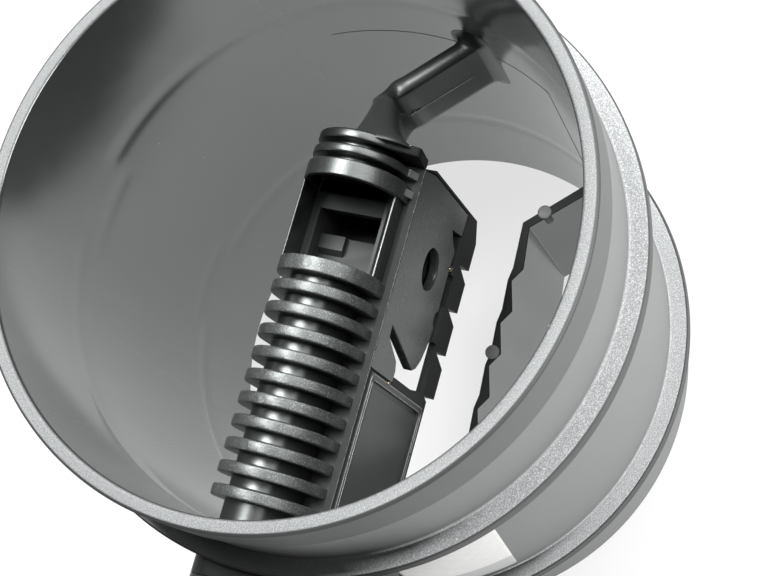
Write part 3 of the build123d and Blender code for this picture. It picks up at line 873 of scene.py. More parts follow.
# Painted highlight: bright metal on the cover ridges and the shoulder seam.
RIDGE_HIGHLIGHT_FINISH = PlainMetal("ridge_painted_highlight", (0.6, 0.61, 0.6), 0.3)
BRASS_FINISH = PlainMetal("tinned_brass", (0.74, 0.62, 0.38), 0.26)
# A lighter grey copy of the black plastic: painted light for the lit faces of the fin feet and fence pads.
PAINTED_LIT_FINISH = PlainSolid("painted_lit_plastic", (0.2, 0.205, 0.2), 0.5)
PANEL_FINISH = MouldedPlastic(
    "panel_smooth_plastic", color=(0.04, 0.041, 0.042), roughness=0.34, gloss=0.8, dust=0.05
)
COVER_FINISH = MouldedPlastic(
    "cover_smooth_plastic", color=(0.06, 0.061, 0.062), roughness=0.27, gloss=1.0, dust=0.12
)
STEEL_FINISH = PlainMetal("zinc_plated_steel", (0.62, 0.63, 0.64))
CERAMIC_FINISH = PlainSolid("fired_ceramic", (0.42, 0.32, 0.2), 0.5)
INNER_FINISHES: dict[str, Finish] = {
    "sealing_ring": PlainSolid("seal_rubber", (0.018, 0.018, 0.019), 0.7),
    "carrier_plate": PlainMetal("rolled_aluminium", (0.7, 0.71, 0.72), 0.38),
    "circuit_board": PlainSolid("board_laminate", (0.02, 0.12, 0.05), 0.35),
    "signal_chip": PlainSolid("chip_resin", (0.02, 0.02, 0.022), 0.5),
    "sensor_carrier": PlainSolid("carrier_resin", (0.03, 0.03, 0.032), 0.45),
    "sensor_chip": PlainSolid("polished_silicon", (0.12, 0.13, 0.17), 0.12, 0.0),
    "temperature_bead": PlainSolid("glass_coat", (0.1, 0.14, 0.08), 0.15, 0.0),
}


@dataclass
class FlowTube:
    """The moulded tube: shell with two flanges and a lip, and the pad on its outside."""

    shop: Workshop
    length: float = 94.6
    body_r: float = 44.0
    outlet_bore_r: float = 41.55
    inlet_bore_r: float = 42.75
    lip_r: float = 45.0
    lip_height: float = 9.5
    lip_step: float = 0.3
    upper_flange: tuple[float, float, float] = (47.8, 71.0, 3.0)
    lower_flange: tuple[float, float, float] = (47.15, 24.45, 2.6)
    edge: float = 0.35
    mouth_edge: float = 0.55
    foot_edge: float = 0.25
    mould_line: float = 0.1
    mould_line_half: float = 0.12
    crease_z: tuple[float, float] = (69.5, 22.2)
    crease_jump: tuple[float, float] = (-5.0, 4.2)
    crease_arc: tuple[float, float] = (78.0, 97.5)
    crease_depth: float = 0.14
    crease_half: float = 1.7
    crease_swell: float = 0.35
    parting_z: tuple[float, float] = (59.8, 55.6)
    parting_arc: tuple[float, float] = (22.0, -30.0)
    parting_foot_z: float = 22.0
    parting_r: float = 0.05
    sunk: float = 0.01
    parting_bend: float = 0.6
    parting_steps: tuple[int, int] = (40, 20)
    bore_rows: int = 150
    pad_x: float = -50.0
    pad_y: tuple[float, float] = (-12.2, 9.9)
    pad_z: tuple[float, float] = (31.0, 67.95)
    ear_r: float = 5.5
    ear_y: float = 15.0
    ear_low_z: float = 41.5
    hidden_r: float = 43.2
    pad_edge: float = 0.3
    pad_corner: float = 4.0
    pad_nook: float = 0.6
    pad_sections: int = 60
    shade: float = 0.96
    shade_start: float = 140.0
    shade_span: float = 16.0
    shade_lean: float = 9.0
    shade_middle: float = 2.4
    spigot_shade: float = 160.0
    shade_dull: float = 0.11
    flange_rows: tuple[float, float] = (2.9, 1.5)
    # The lip band and the edges keep only part of the painted sheen: painted shade.
    lip_painted_light: float = 0.5
    edge_painted_light: float = 0.25
    rim_depth: float = 0.9
    rim_top: float = 0.3
    flange_proud: float = 1.5
    mouth_width: float = 0.45
    outer_fade: tuple[float, float] = (1.6, 0.4)
    grain_fade: tuple[float, float] = (0.55, 0.4)
    plain_foot: float = 1.0
    # The rim keeps only part of its grain: painted shade.
    rim_shaded_grain: float = 0.38
    rim_dull: float = 0.85
    level_share: float = 0.97
    # The bore's painted light: the angle where it is weakest, then where its rise starts and ends, in
    # degrees.
    painted_bore_light_arc: tuple[float, float, float] = (70.0, 25.0, 56.8)

    def bore_r(self, z: Array) -> Array:
        """Radius of the tapered bore at each height."""
        return self.outlet_bore_r + (self.inlet_bore_r - self.outlet_bore_r) * z / self.length

    def outside(self) -> list[tuple[float, float, float]]:
        """Corners of the outside from outlet to rim.

        The lower flange carries the mould's fine parting line round its middle. Corners without a rounding
        lie on flat runs, where they carry marks.

        Returns:
            The corners as (radius, height, rounding).
        """
        e, root = self.edge, 0.3
        spigot = self.lip_r - self.lip_step
        lip_z = self.length - self.lip_height
        ur, uz, ut = self.upper_flange
        lr, lz, lt = self.lower_flange
        mid, half = lz - lt / 2, self.mould_line_half
        return [
            (self.body_r, 0, self.foot_edge),
            (self.body_r, lz - lt, root), (lr, lz - lt, e),
            (lr, mid - half, 0.03), (lr + self.mould_line, mid, 0.05), (lr, mid + half, 0.03),
            (lr, lz, e),
            *((self.body_r + step, lz, 0.0) for step in self.flange_rows),
            (self.body_r, lz, 0.4),
            (self.body_r, uz - ut, root), (ur, uz - ut, e),
            (ur, uz, e),
            *((self.body_r + step, uz, 0.0) for step in self.flange_rows),
            (spigot, uz, 0.5),
            (spigot, lip_z, 0.1), (self.lip_r, lip_z + self.lip_step, 0.2),
            (self.lip_r, self.length - self.rim_depth, 0.0), (self.lip_r, self.length, self.mouth_edge),
        ]

    def relief(self, angle: Array, z: Array) -> Array:
        """How far the bore's wall stands back at an angle and height.

        Each flange leaves a sink ring, a bell curve of height about the ring's middle, and the middle jumps
        over a short arc where two mould halves meet. The depth swells three times round the bore.

        Args:
            angle: Angles about the axis in degrees.
            z: Heights.

        Returns:
            The depth at each point.
        """
        inside = ((angle > self.crease_arc[0]) & (angle < self.crease_arc[1])).astype(float)
        depth = np.zeros(np.broadcast(angle, z).shape)
        swell = 1 + self.crease_swell * np.sin(np.radians(3 * angle))
        for middle, jump in zip(self.crease_z, self.crease_jump):
            offset = (z - middle - jump * inside) / self.crease_half
            depth = depth + self.crease_depth * np.exp(-offset**2) * swell
        return depth

    def parting_line(self) -> Surface:
        """The fine ridge in the bore, along a slope round the wall and then down to the outlet.

        A point at an angle a and height z lies on the tapered bore at (r cos a, r sin a, z).

        Returns:
            The ridge's surface.
        """
        sloped, upright = self.parting_steps
        last_a, last_z = self.parting_arc[1] - self.parting_bend, self.parting_z[1] - self.parting_bend
        drop = np.linspace(last_z, self.parting_foot_z, upright)
        a = np.radians(np.concatenate([np.linspace(*self.parting_arc, sloped), np.full(upright, last_a)]))
        z = np.concatenate([np.linspace(*self.parting_z, sloped), drop])
        r = self.bore_r(z) - self.sunk
        path = np.column_stack([r * np.cos(a), r * np.sin(a), z])
        return bead(path, path * [1, 1, 0] / r[:, None], self.parting_r)

    def profile(self) -> tuple[Array, slice]:
        """The shell's closed section, up the outside and down the tapered bore.

        The bore is the section's longest side, and gets evenly spaced rows that can carry the relief.

        Returns:
            The points as (radius, height), and the bore's span among them.
        """
        mouth, outlet = (self.inlet_bore_r, self.length), (self.outlet_bore_r, 0.0)
        corners = [*self.outside(), (*mouth, self.mouth_edge), (*outlet, self.edge)]
        points = rounded_path([c[:2] for c in corners], [c[2] for c in corners])
        gap = int(np.argmax(np.linalg.norm(points - np.roll(points, -1, 0), axis=1))) + 1
        rows = np.linspace(0, 1, self.bore_rows + 2)[1:-1, None]
        bore = points[gap - 1] + rows * (points[gap] - points[gap - 1])
        return np.concatenate([points[:gap], bore, points[gap:]]), slice(gap, gap + self.bore_rows)

    def lit(self, r: Array, z: Array, angle: Array, level: Array) -> Array:
        """How much painted sheen and grain each point of the outside keeps; the rest is painted shade.

        It fades into painted shade over an arc towards the sensor's side, where the tube shades itself.
        The arc starts later on the spigot, and on level faces it starts earlier near the wall than at the
        edge.

        Args:
            r: Each row's radius.
            z: Each row's height.
            angle: Each point's angle about the axis in degrees.
            level: True for each row on a level face.

        Returns:
            The share at each point.
        """
        start = np.where(z > self.upper_flange[1] + 1.0, self.spigot_shade, self.shade_start)
        start = np.where(level, start + self.shade_lean * (r - self.body_r - self.shade_middle), start)
        return 1 - self.shade * ramp(np.abs(angle), start, self.shade_span)

    def painted_bore_light(self, angle: Array) -> Array:
        """The bore's painted light, which grows with the distance from the angle where it is weakest.

        Args:
            angle: Each point's angle about the axis in degrees.

        Returns:
            The share at each point.
        """
        middle, start, end = self.painted_bore_light_arc
        away = np.abs((angle - middle + 180) % 360 - 180)
        return ramp(away, start, end - start)

    def mark(self, surface: Surface, profile: Array) -> None:
        """Mark the speckled level faces, dull outside, painted sheen and shade, and painted light in the
        bore.

        Args:
            surface: The turned shell.
            profile: Its section as (radius, height).
        """
        r, z = profile[:, :1], profile[:, 1:]
        along = np.roll(profile, -1, 0) - np.roll(profile, 1, 0)
        flat = (np.abs(along[:, 0]) / np.linalg.norm(along, axis=1))[:, None]
        level = flat > self.level_share
        angle = np.degrees(np.arctan2(surface.points[..., 1], surface.points[..., 0]))
        near_top = z > self.length - self.mouth_edge - 0.05
        rim = z > self.length - self.rim_top
        inner = (r < self.inlet_bore_r) & ~near_top
        on_flange = r > self.lip_r + self.flange_proud
        on_mouth = (r > self.lip_r - self.mouth_width) & near_top
        # Flange and mouth edges lose their grain and most of the painted sheen: painted shade.
        edge = (on_flange | on_mouth) & ~level
        outer = ramp(r, self.lip_r - self.outer_fade[0], self.outer_fade[1])
        grain = ramp(flat, *self.grain_fade) * (z > self.plain_foot)
        # Painted shade: grain and painted sheen fade towards the sensor's side, where the dull mark also
        # takes the reflection away.
        lit = self.lit(r, z, angle, level)
        lip = np.where(z > self.length - self.lip_height, self.lip_painted_light, 1.0)
        # The outside's lighter colour is a painted sheen, darker on the lip band as painted shade.
        painted_sheen = outer * lit * lip * np.where(edge, self.edge_painted_light, 1.0)
        # The rim keeps only part of its grain: painted shade.
        surface.marks["grain"] = np.where(rim, self.rim_shaded_grain * grain, lit * grain) * ~edge
        surface.marks["dull"] = np.where(rim, self.rim_dull, outer * (1 + self.shade_dull * (1 - lit)))
        # In the bore the mark is painted light, lighter away from one angle.
        surface.marks["painted_light"] = np.where(inner, self.painted_bore_light(angle), painted_sheen)

    def shell(self) -> Surface:
        """The lathe-turned shell, speckled on the faces that look along the axis.

        In the bore the radius grows by the relief at the row's height and the column's angle.

        Returns:
            The closed surface with its marks.
        """
        profile, bore = self.profile()
        surface = lathe(profile)
        x, y, z = np.moveaxis(surface.points[bore], -1, 0)
        grow = 1 + self.relief(np.degrees(np.arctan2(y, x)), z) / np.hypot(x, y)
        surface.points[bore, :, :2] *= grow[..., None]
        self.mark(surface, profile)
        return surface

    def pad(self) -> Surface:
        """The pad that the sensor is screwed to, with its diagonal pair of ears.

        Each section lies across Y. It spans the outline's lowest and highest z at that y, and runs from the
        pad's face to a cylinder inside the tube's wall, x = -sqrt(R^2 - y^2). Where the outline runs along z
        its points are told apart by a tiny step in y.

        Returns:
            The closed surface.
        """
        y0, y1 = self.pad_y
        z0, z1 = self.pad_z
        r, reach = self.ear_r, self.ear_y + self.ear_r
        low0, low1 = self.ear_low_z - r, self.ear_low_z + r
        high0, wide, nook = z1 - 2 * r, self.pad_corner, self.pad_nook
        corners = [
            (y0, z0, wide), (y1, z0, wide), (y1, low0, nook), (reach, low0, r), (reach, low1, r),
            (y1, low1, nook), (y1, z1, wide), (-reach, z1, r), (-reach, high0, r), (y0, high0, nook),
        ]
        just_under = 0.999
        outline = rounded_path([c[:2] for c in corners], [c[2] * just_under for c in corners], 9)
        outline = np.roll(outline, -int(np.argmin(outline[:, 0])), 0)
        tip = int(np.argmax(outline[:, 0]))
        lower, upper = outline[: tip + 1], np.concatenate([outline[tip:], outline[:1]])[::-1]
        step = 1e-5
        lower_y = np.maximum.accumulate(lower[:, 0]) + np.arange(len(lower)) * step / len(lower)
        upper_y = np.maximum.accumulate(upper[:, 0]) + np.arange(len(upper)) * step / len(upper)
        spread = np.linspace(-reach, reach, self.pad_sections)
        y = np.unique(np.clip(np.concatenate([lower_y, upper_y, spread]), -reach, reach))[:, None]
        low = np.interp(y, lower_y, lower[:, 1])
        high = np.interp(y, upper_y, upper[:, 1])
        e = np.minimum(self.pad_edge, (high - low) / 2.1)
        a = np.linspace(0, np.pi / 2, 4)
        hidden = -np.sqrt(self.hidden_r**2 - y**2)
        arc_x = self.pad_x + e * (1 - np.cos(a))
        arc_z = e * (1 - np.sin(a))
        x = np.concatenate([hidden, arc_x[:, ::-1], arc_x, hidden], 1)
        z = np.concatenate([low, low + arc_z[:, ::-1], high - arc_z, high], 1)
        return Surface(np.stack([x, y + 0 * x, z], -1), marks={"dull": np.ones(1)})

    def build(self) -> None:
        """Make the shell and the pad in place of the plain moulding."""
        shell = self.shop.piece("tube_shell", [self.shell()], TUBE_FINISH, Slot.TUBE)
        pad = self.shop.piece("tube_pad", [self.pad()], TUBE_FINISH, Slot.TUBE)
        line = self.shop.piece("bore_parting_line", [self.parting_line()], PROBE_FINISH, Slot.TUBE)
        for piece in (shell, pad, line):
            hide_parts("flow_tube")


@dataclass
class Fairing:
    """The finned nose in front of the blade, with its inlet window, collar and tip plates."""

    shop: Workshop
    seat_z: float = 66.4
    nose_r: float = 7.7
    nose_z: float = 69.3
    core_r: float = 5.4
    wall_x: float = -42.4
    fin_count: int = 11
    fin_pitch: float = 3.47
    fin_t: float = 1.75
    first_fin_t: float = 2.4
    window_x: tuple[float, float] = (-1.7, 11.0)
    window_bar: float = 0.75
    bar_lands: tuple[float, float] = (0.62, 0.38)
    collar_t: float = 2.7
    collar_recess: float = 2.0
    tip_groove: float = 1.0
    tip_fin_t: float = 1.4
    foot_t: float = 1.5
    shoulder_y: float = -9.3
    shoulder_z: float = 67.0
    shoulder_lip: float = 0.3
    shoulder_flat: float = -8.5
    fin_spread: float = 0.45
    foot_block_y: float = -10.2
    foot_block_z: float = 73.2
    fin_edge: float = 0.3
    groove_edge: float = 0.3
    window_edge: float = 0.2
    fin_steps: tuple[float, float] = (0.25, 0.5)
    fin_flare: float = 0.6
    tip_speckle: float = 0.4
    speckle_depth: float = 0.5
    dull_depth: float = 1.0
    dull_lean: tuple[float, float] = (0.02, 0.125)
    mark_fade: float = 0.4
    arc_points: int = 64
    ejector_marks: tuple[tuple[float, float], ...] = ((-2.9, 4.0), (-23.72, 10.0), (-30.66, 15.0))
    mark_r: float = 0.78
    fin_feet: tuple[float, ...] = (12.45, 15.45)
    fin_foot_half: float = 0.6
    fin_foot_y: tuple[float, float] = (-8.95, -8.1)
    fin_foot_z: tuple[float, float, float] = (67.4, 67.6, 69.2)
    seam_r: float = 0.11
    seam_start: float = 2.4
    seam_inset: tuple[float, float] = (0.08, -0.15)
    seam_points: int = 30

    @property
    def foot_x(self) -> float:
        """Where the foot plate starts."""
        return self.window_x[1] + self.collar_t + 2 * self.tip_groove + self.tip_fin_t

    @property
    def foot_end(self) -> float:
        """Where the foot plate ends."""
        return self.foot_x + self.foot_t

    def sweep(self, corners: list[tuple[float, float, float]], speckle: float) -> Surface:
        """Carry a half-round section along X with a changing radius.

        The section at a radius r is an arc y = r cos a, z = nose + r sin a over half a turn, closed by
        straight sides down to the seat. Where the radius is a fin's, the front side spreads onto the shoulder
        with the square of the angle past the top. Points are speckled where the radius is near the nose's,
        and dull at the front of the grooves.

        Args:
            corners: The lengthwise profile as (x, radius, rounding), closed along the X axis.
            speckle: Strength of the speckle.

        Returns:
            The closed surface.
        """
        profile = rounded_path([c[:2] for c in corners], [c[2] for c in corners], 4)
        x, r = profile[:, :1], np.maximum(profile[:, 1:], 0.0)
        a = np.linspace(0, np.pi, self.arc_points)
        foot = np.linspace(self.seat_z, self.nose_z, 4)[:-1]
        spread = self.fin_spread * ramp(r, self.core_r, self.nose_r - self.core_r)
        lean = np.clip((a / np.pi - 0.5) * 2, 0, 1) ** 2
        front = 1 + self.fin_flare * np.linspace(0, 1, len(foot))
        y = np.concatenate([r + 0 * foot, r * np.cos(a) - spread * lean, -r - spread * front], 1)
        z = np.concatenate([0 * r + foot, self.nose_z + r * np.sin(a), 0 * r + foot[::-1]], 1)
        surface = Surface(np.stack([x + 0 * y, y, z], -1))
        surface.marks["grain"] = speckle * ramp(r, self.nose_r - self.speckle_depth, self.mark_fade)
        ahead = np.concatenate([0 * foot, ramp(lean, *self.dull_lean), 1 + 0 * foot])
        surface.marks["dull"] = ahead * (1 - ramp(r, self.nose_r - self.dull_depth, self.mark_fade))
        return surface

    def fin_profile(self) -> list[tuple[float, float, float]]:
        """Profile of the finned run from the wall to the window.

        Returns:
            The corners as (x, radius, rounding).
        """
        e, g = self.fin_edge, self.groove_edge
        corners = [(self.wall_x, AXIS_GAP, 0.0), (self.wall_x, self.core_r, 0.02)]
        first = self.window_x[0] - self.first_fin_t / 2
        half = self.fin_t / 2
        for k in range(self.fin_count - 1, 0, -1):
            c = first - k * self.fin_pitch
            corners += [(c - half, self.core_r, g), (c - half, self.nose_r, e)]
            corners += [(c + half, self.nose_r, e), (c + half, self.core_r, g)]
        start, end = self.window_x[0] - self.first_fin_t, self.window_x[0]
        corners += [(start, self.core_r, g), (start, self.nose_r, e)]
        corners += [(end, self.nose_r, self.window_edge), (end, AXIS_GAP, 0.0)]
        return corners

    def tip_profile(self) -> list[tuple[float, float, float]]:
        """Profile of the hollow collar, the tip fin and the foot plate.

        Returns:
            The corners as (x, radius, rounding).
        """
        e, g, core = self.fin_edge, self.groove_edge, self.core_r
        x0 = self.window_x[1]
        x1 = x0 + self.collar_t
        x2 = x1 + self.tip_groove
        x3, x4 = x2 + self.tip_fin_t, self.foot_x
        end = self.foot_end
        inside, hollow = x0 + self.collar_recess, self.nose_r - 1.0
        fin_r, foot_r = (self.nose_r - step for step in self.fin_steps)
        return [
            (inside, AXIS_GAP, 0.0), (inside, hollow - 0.3, 0.2), (x0, hollow, 0.15),
            (x0, self.nose_r, self.window_edge), (x1, self.nose_r, e), (x1, core, g),
            (x2, core, g), (x2, fin_r, e), (x3, fin_r, e), (x3, core, g),
            (x4, core, g), (x4, foot_r, e), (end, foot_r, e), (end, AXIS_GAP, 0.0),
        ]

    def bar(self, side: float) -> Surface:
        """One thin side wall of the window, following the nose's curve.

        Its outer side is the arc y = r cos a, z = nose + r sin a, up to where a level land of a given width
        is left. The wall runs a little into the fin and the collar.

        Args:
            side: Minus or plus one for the front or the rear wall.

        Returns:
            The closed surface.
        """
        inner = self.nose_r - self.window_bar
        land = self.bar_lands[0] if side < 0 else self.bar_lands[1]
        a = np.linspace(0, math.acos((inner + land) / self.nose_r), 10)
        y = np.concatenate([[inner], [self.nose_r], self.nose_r * np.cos(a), [inner]])
        z = np.concatenate([[self.seat_z], [self.seat_z], self.nose_z + self.nose_r * np.sin(a)])
        outline = np.column_stack([side * y, np.append(z, z[-1])])
        into = 0.1
        return prism(outline, Axis.X, self.window_x[0] - into, self.window_x[1] + into, 0.04)

    def shoulder(self) -> Surface:
        """The flat strip along the front of the fairing's foot.

        Returns:
            The closed surface.
        """
        y0, y1, y2 = self.shoulder_y, -self.core_r + 0.5, self.shoulder_flat
        z0, z1 = self.seat_z, self.shoulder_z
        corners = [(y0, z0), (y1, z0), (y1, z1), (y2, z1), (y0, z0 + 0.15)]
        outline = rounded_path(corners, [0.02, 0.02, 0.02, 0.15, 0.08], 4)
        return prism(outline, Axis.X, self.wall_x, self.foot_end + self.shoulder_lip, 0.12)

    def foot_block(self) -> Surface:
        """The square front end of the foot plate, which stands out over the shoulder.

        Returns:
            The closed surface.
        """
        y0, z0, z1 = self.foot_block_y, self.shoulder_z - 0.2, self.foot_block_z
        corners = [(y0 + 0.6, z0), (0.0, z0), (0.0, z1 + 2.0), (-4.6, z1 + 1.5), (y0, z1 - 0.9)]
        outline = rounded_path(corners, [0.2, 0.2, 0.2, 3.0, 0.8], 6)
        block = prism(outline, Axis.X, self.foot_x, self.foot_end, 0.25)
        block.marks["dull"] = np.ones(1)
        return block

    def fin_foot(self, x: float) -> Surface:
        """A small sloping foot at the front of a fin.

        Args:
            x: Its middle along the fairing.

        Returns:
            The closed surface.
        """
        back = -self.nose_r + 0.3
        low_y, high_y = self.fin_foot_y
        z0, z1, z2 = self.fin_foot_z
        corners = [(back, z0), (low_y, z0), (low_y, z1), (high_y, z2), (back, z2)]
        outline = rounded_path(corners, [0.02, 0.05, 0.1, 0.2, 0.02], 4)
        return prism(outline, Axis.X, x - self.fin_foot_half, x + self.fin_foot_half, 0.12)

    def seam(self) -> Surface:
        """The fine ridge along the joint of the shoulder and the blade's front, a straight line along X.

        Returns:
            The ridge's surface.
        """
        x = np.linspace(self.wall_x + self.seam_start, self.foot_end, self.seam_points)
        y, z = self.shoulder_y + self.seam_inset[0], self.seat_z + self.seam_inset[1]
        path = np.column_stack([x, np.full_like(x, y), np.full_like(x, z)])
        return bead(path, REARWARD, self.seam_r)

    def ejector_mark(self, x: float, degrees: float) -> Surface:
        """A flush round mark that an ejector pin left on a fin.

        Args:
            x: Place along the fairing.
            degrees: Angle from the top towards the rear.

        Returns:
            A low round pad on the nose's surface.
        """
        tilt = math.radians(degrees)
        out = np.array([0.0, math.sin(tilt), math.cos(tilt)])
        centre = np.array([x, 0.0, self.nose_z]) + (self.nose_r - 0.06) * out
        r, top = self.mark_r, 0.065
        outline = [(r, -0.25), (r, top - 0.02), (r - 0.02, top - 0.005), (r - 0.05, top), (r - 0.18, top)]
        mark = knob(centre, out, [*outline, (AXIS_GAP, top)])
        mark.marks["grain"] = np.ones(1)
        return mark

    def build(self) -> None:
        """Make the fairing's pieces in place of the plain moulding."""
        fins = self.shop.piece("fairing_fins", [self.sweep(self.fin_profile(), 1.0)], PROBE_FINISH, Slot.TUBE)
        tip_forms = [self.sweep(self.tip_profile(), self.tip_speckle), self.foot_block()]
        tip = self.shop.piece("fairing_tip", tip_forms, PROBE_FINISH, Slot.TUBE)
        bars = self.shop.piece("window_bars", [self.bar(-1.0), self.bar(1.0)], PROBE_FINISH, Slot.TUBE)
        strip = self.shop.piece("fairing_shoulder", [self.shoulder()], SHOULDER_FINISH, Slot.TUBE)
        marks = [self.ejector_mark(x, degrees) for x, degrees in self.ejector_marks]
        pins = self.shop.piece("ejector_marks", marks, PROBE_FINISH, Slot.TUBE)
        small_feet = [self.fin_foot(x) for x in self.fin_feet]
        # The fin feet are painted a lighter grey: painted light for their lit faces.
        feet = self.shop.piece("fin_feet", small_feet, PAINTED_LIT_FINISH, Slot.TUBE)
        # The seam's bright metal is a painted highlight.
        seam = self.shop.piece("shoulder_seam", [self.seam()], RIDGE_HIGHLIGHT_FINISH, Slot.TUBE)
        for piece in (fins, tip, bars, strip, pins, feet, seam):
            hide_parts("flow_tube")


@dataclass(frozen=True)
class NeckSection:
    """One section of the strut's neck.

    Attributes:
        offset: The section's middle, from the neck's foot.
        side: Direction of the width.
        up: Direction of the height.
        width: Full width.
        height: Full height.
        power: Two for an ellipse, more for squarer corners.
    """

    offset: Place
    side: Array
    up: Array
    width: float
    height: float
    power: float


NECK_SIDE = np.array([-0.2, 0.98, 0.0])
NECK_LEAN = np.array([0.68, 0.14, 0.72])
NECK = (
    NeckSection((-0.6, -0.2, -0.2), REARWARD, UP, 12.2, 9.6, 2.6),
    NeckSection((0.1, -0.2, -0.2), REARWARD, UP, 10.6, 9.2, 2.6),
    NeckSection((0.9, 0.0, -0.8), REARWARD, UP, 8.4, 8.6, 2.8),
    NeckSection((2.4, 0.9, -2.9), REARWARD, (UP + 0.3 * NECK_LEAN) / 1.23, 6.6, 8.6, 3.0),
    NeckSection((5.4, 2.9, -8.2), NECK_SIDE, NECK_LEAN, 4.8, 9.8, 3.2),
    NeckSection((8.8, 5.0, -13.4), NECK_SIDE, (UP + 0.5 * NECK_LEAN) / 1.4, 3.6, 11.8, 4.0),
)


@dataclass
class Strut:
    """The rib from the fairing's foot plate to the far wall, with a flared neck and root."""

    shop: Workshop
    thickness: float = 3.0
    crown: float = 0.75
    z0: float = 46.5
    z1: float = 60.2
    bend: tuple[float, float] = (30.2, 3.3)
    angle: float = -46.8
    wall_r: float = 41.55
    wall_taper: float = 0.012685
    neck_foot: Place = (18.6, -2.8, 70.9)
    neck: tuple[NeckSection, ...] = NECK
    rib_start: float = 1.6
    rib_loops: int = 5
    rib_steepness: float = 4.0
    root_clear: float = 2.2
    root_fillet: float = 1.7
    root_rise: float = 1.9
    root_angles: tuple[float, ...] = (0.0, 25.0, 45.0, 63.0, 78.0, 90.0)
    root_buried: float = 0.6
    loop_points: int = 56
    rows_between: int = 6
    flash_r: float = 0.1
    flash_z: float = 52.6
    flash_ends: tuple[float, float] = (0.2, 2.6)
    flash_sunk: float = 0.01
    flash_points: int = 14

    def along(self) -> Array:
        """The rib's direction."""
        heading = math.radians(self.angle)
        return np.array([math.cos(heading), math.sin(heading), 0.0])

    def side(self) -> Array:
        """The direction across the rib, to its rear."""
        d = self.along()
        return np.array([-d[1], d[0], 0.0])

    def reach(self, across: Array, z: Array) -> Array:
        """Distance from the bend to the wall along the rib, for points set off to the side.

        A point moves along the rib until its distance from the axis is the wall's radius, which is the
        positive root of a quadratic.

        Args:
            across: How far each point is set off across the rib.
            z: Each point's height, which sets the tapered wall's radius.

        Returns:
            The distances.
        """
        start = np.array([*self.bend, 0.0]) + across[:, None] * self.side()
        ahead = start @ self.along()
        radius = self.wall_r + self.wall_taper * z
        return np.sqrt(ahead**2 + radius**2 - (start**2).sum(-1)) - ahead

    def middle_reach(self) -> float:
        """Distance from the bend to the wall along the rib's middle."""
        return float(self.reach(np.zeros(1), np.full(1, (self.z0 + self.z1) / 2))[0])

    def section(self, neck: NeckSection) -> Array:
        """A closed loop between an ellipse and a rectangle.

        A superellipse: each coordinate is the signed cosine or sine raised to 2 / power.

        Args:
            neck: The section's place and size.

        Returns:
            The loop's points.
        """
        t = np.linspace(0, 2 * np.pi, self.loop_points, endpoint=False)[:, None]
        c, s = np.cos(t), np.sin(t)
        u = np.sign(c) * np.abs(c) ** (2 / neck.power) * neck.width / 2
        v = np.sign(s) * np.abs(s) ** (2 / neck.power) * neck.height / 2
        return np.add(self.neck_foot, neck.offset) + u * neck.side + v * neck.up

    def rib(self, distance: float | None, near: float = 0.0, out: float = 0.0) -> Array:
        """The rib's loop, a bar with crowned top and bottom.

        A point's place round the loop follows a flattened half ellipse at each end of two straight sides.
        Near the root each point keeps its own distance from the wall, so that the fillet follows the wall.

        Args:
            distance: How far past the bend, or None for a loop near the wall.
            near: Distance from the wall where there is no distance from the bend.
            out: How far the fillet spreads there.

        Returns:
            The loop's points.
        """
        r = self.thickness / 2 + out
        t = np.linspace(0, 2 * np.pi, self.loop_points, endpoint=False)
        across = r * np.cos(t)
        straight = (self.z1 - self.z0) / 2 - self.crown
        up = (self.crown + out * np.where(np.sin(t) > 0, self.root_rise, 1.0)) * np.sin(t)
        up = up + straight * np.clip(np.sin(t) * self.rib_steepness, -1, 1)
        base = np.array([*self.bend, (self.z0 + self.z1) / 2])
        ahead = self.reach(across, base[2] + up) - near if distance is None else np.full_like(t, distance)
        return base + ahead[:, None] * self.along() + across[:, None] * self.side() + up[:, None] * UP

    def surface(self) -> Surface:
        """The smooth skin through the neck, rib and root sections.

        The root's fillet is a quarter circle: near = R (1 - sin a), out = R (1 - cos a).

        Returns:
            The closed surface.
        """
        fillet = self.root_fillet
        rib_end = self.middle_reach() - self.root_clear * fillet
        keys = [self.section(neck) for neck in self.neck]
        keys += [self.rib(distance) for distance in np.linspace(self.rib_start, rib_end, self.rib_loops)]
        for a in np.radians(self.root_angles):
            keys.append(self.rib(None, fillet * (1 - math.sin(a)), fillet * (1 - math.cos(a))))
        keys.append(self.rib(None, -self.root_buried, fillet))
        return Surface(spline_rows(np.stack(keys), self.rows_between))

    def flash(self) -> Surface:
        """The thin ridge that the mould's parting line left on the rib's near face, a straight line.

        Returns:
            The ridge's surface.
        """
        base = np.array([*self.bend, self.flash_z]) - self.side() * (self.thickness / 2 - self.flash_sunk)
        first, last = self.flash_ends
        reach = np.linspace(first, self.middle_reach() - last, self.flash_points)
        return bead(base + reach[:, None] * self.along(), self.side(), self.flash_r)

    def build(self) -> None:
        """Make the strut and its flash line in place of the plain moulding."""
        strut = self.shop.piece("strut", [self.surface()], STRUT_FINISH, Slot.TUBE)
        # The flash line's bright metal is a painted highlight.
        flash = self.shop.piece("strut_flash", [self.flash()], FLASH_HIGHLIGHT_FINISH, Slot.TUBE)
        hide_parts("flow_tube")
        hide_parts("flow_tube")


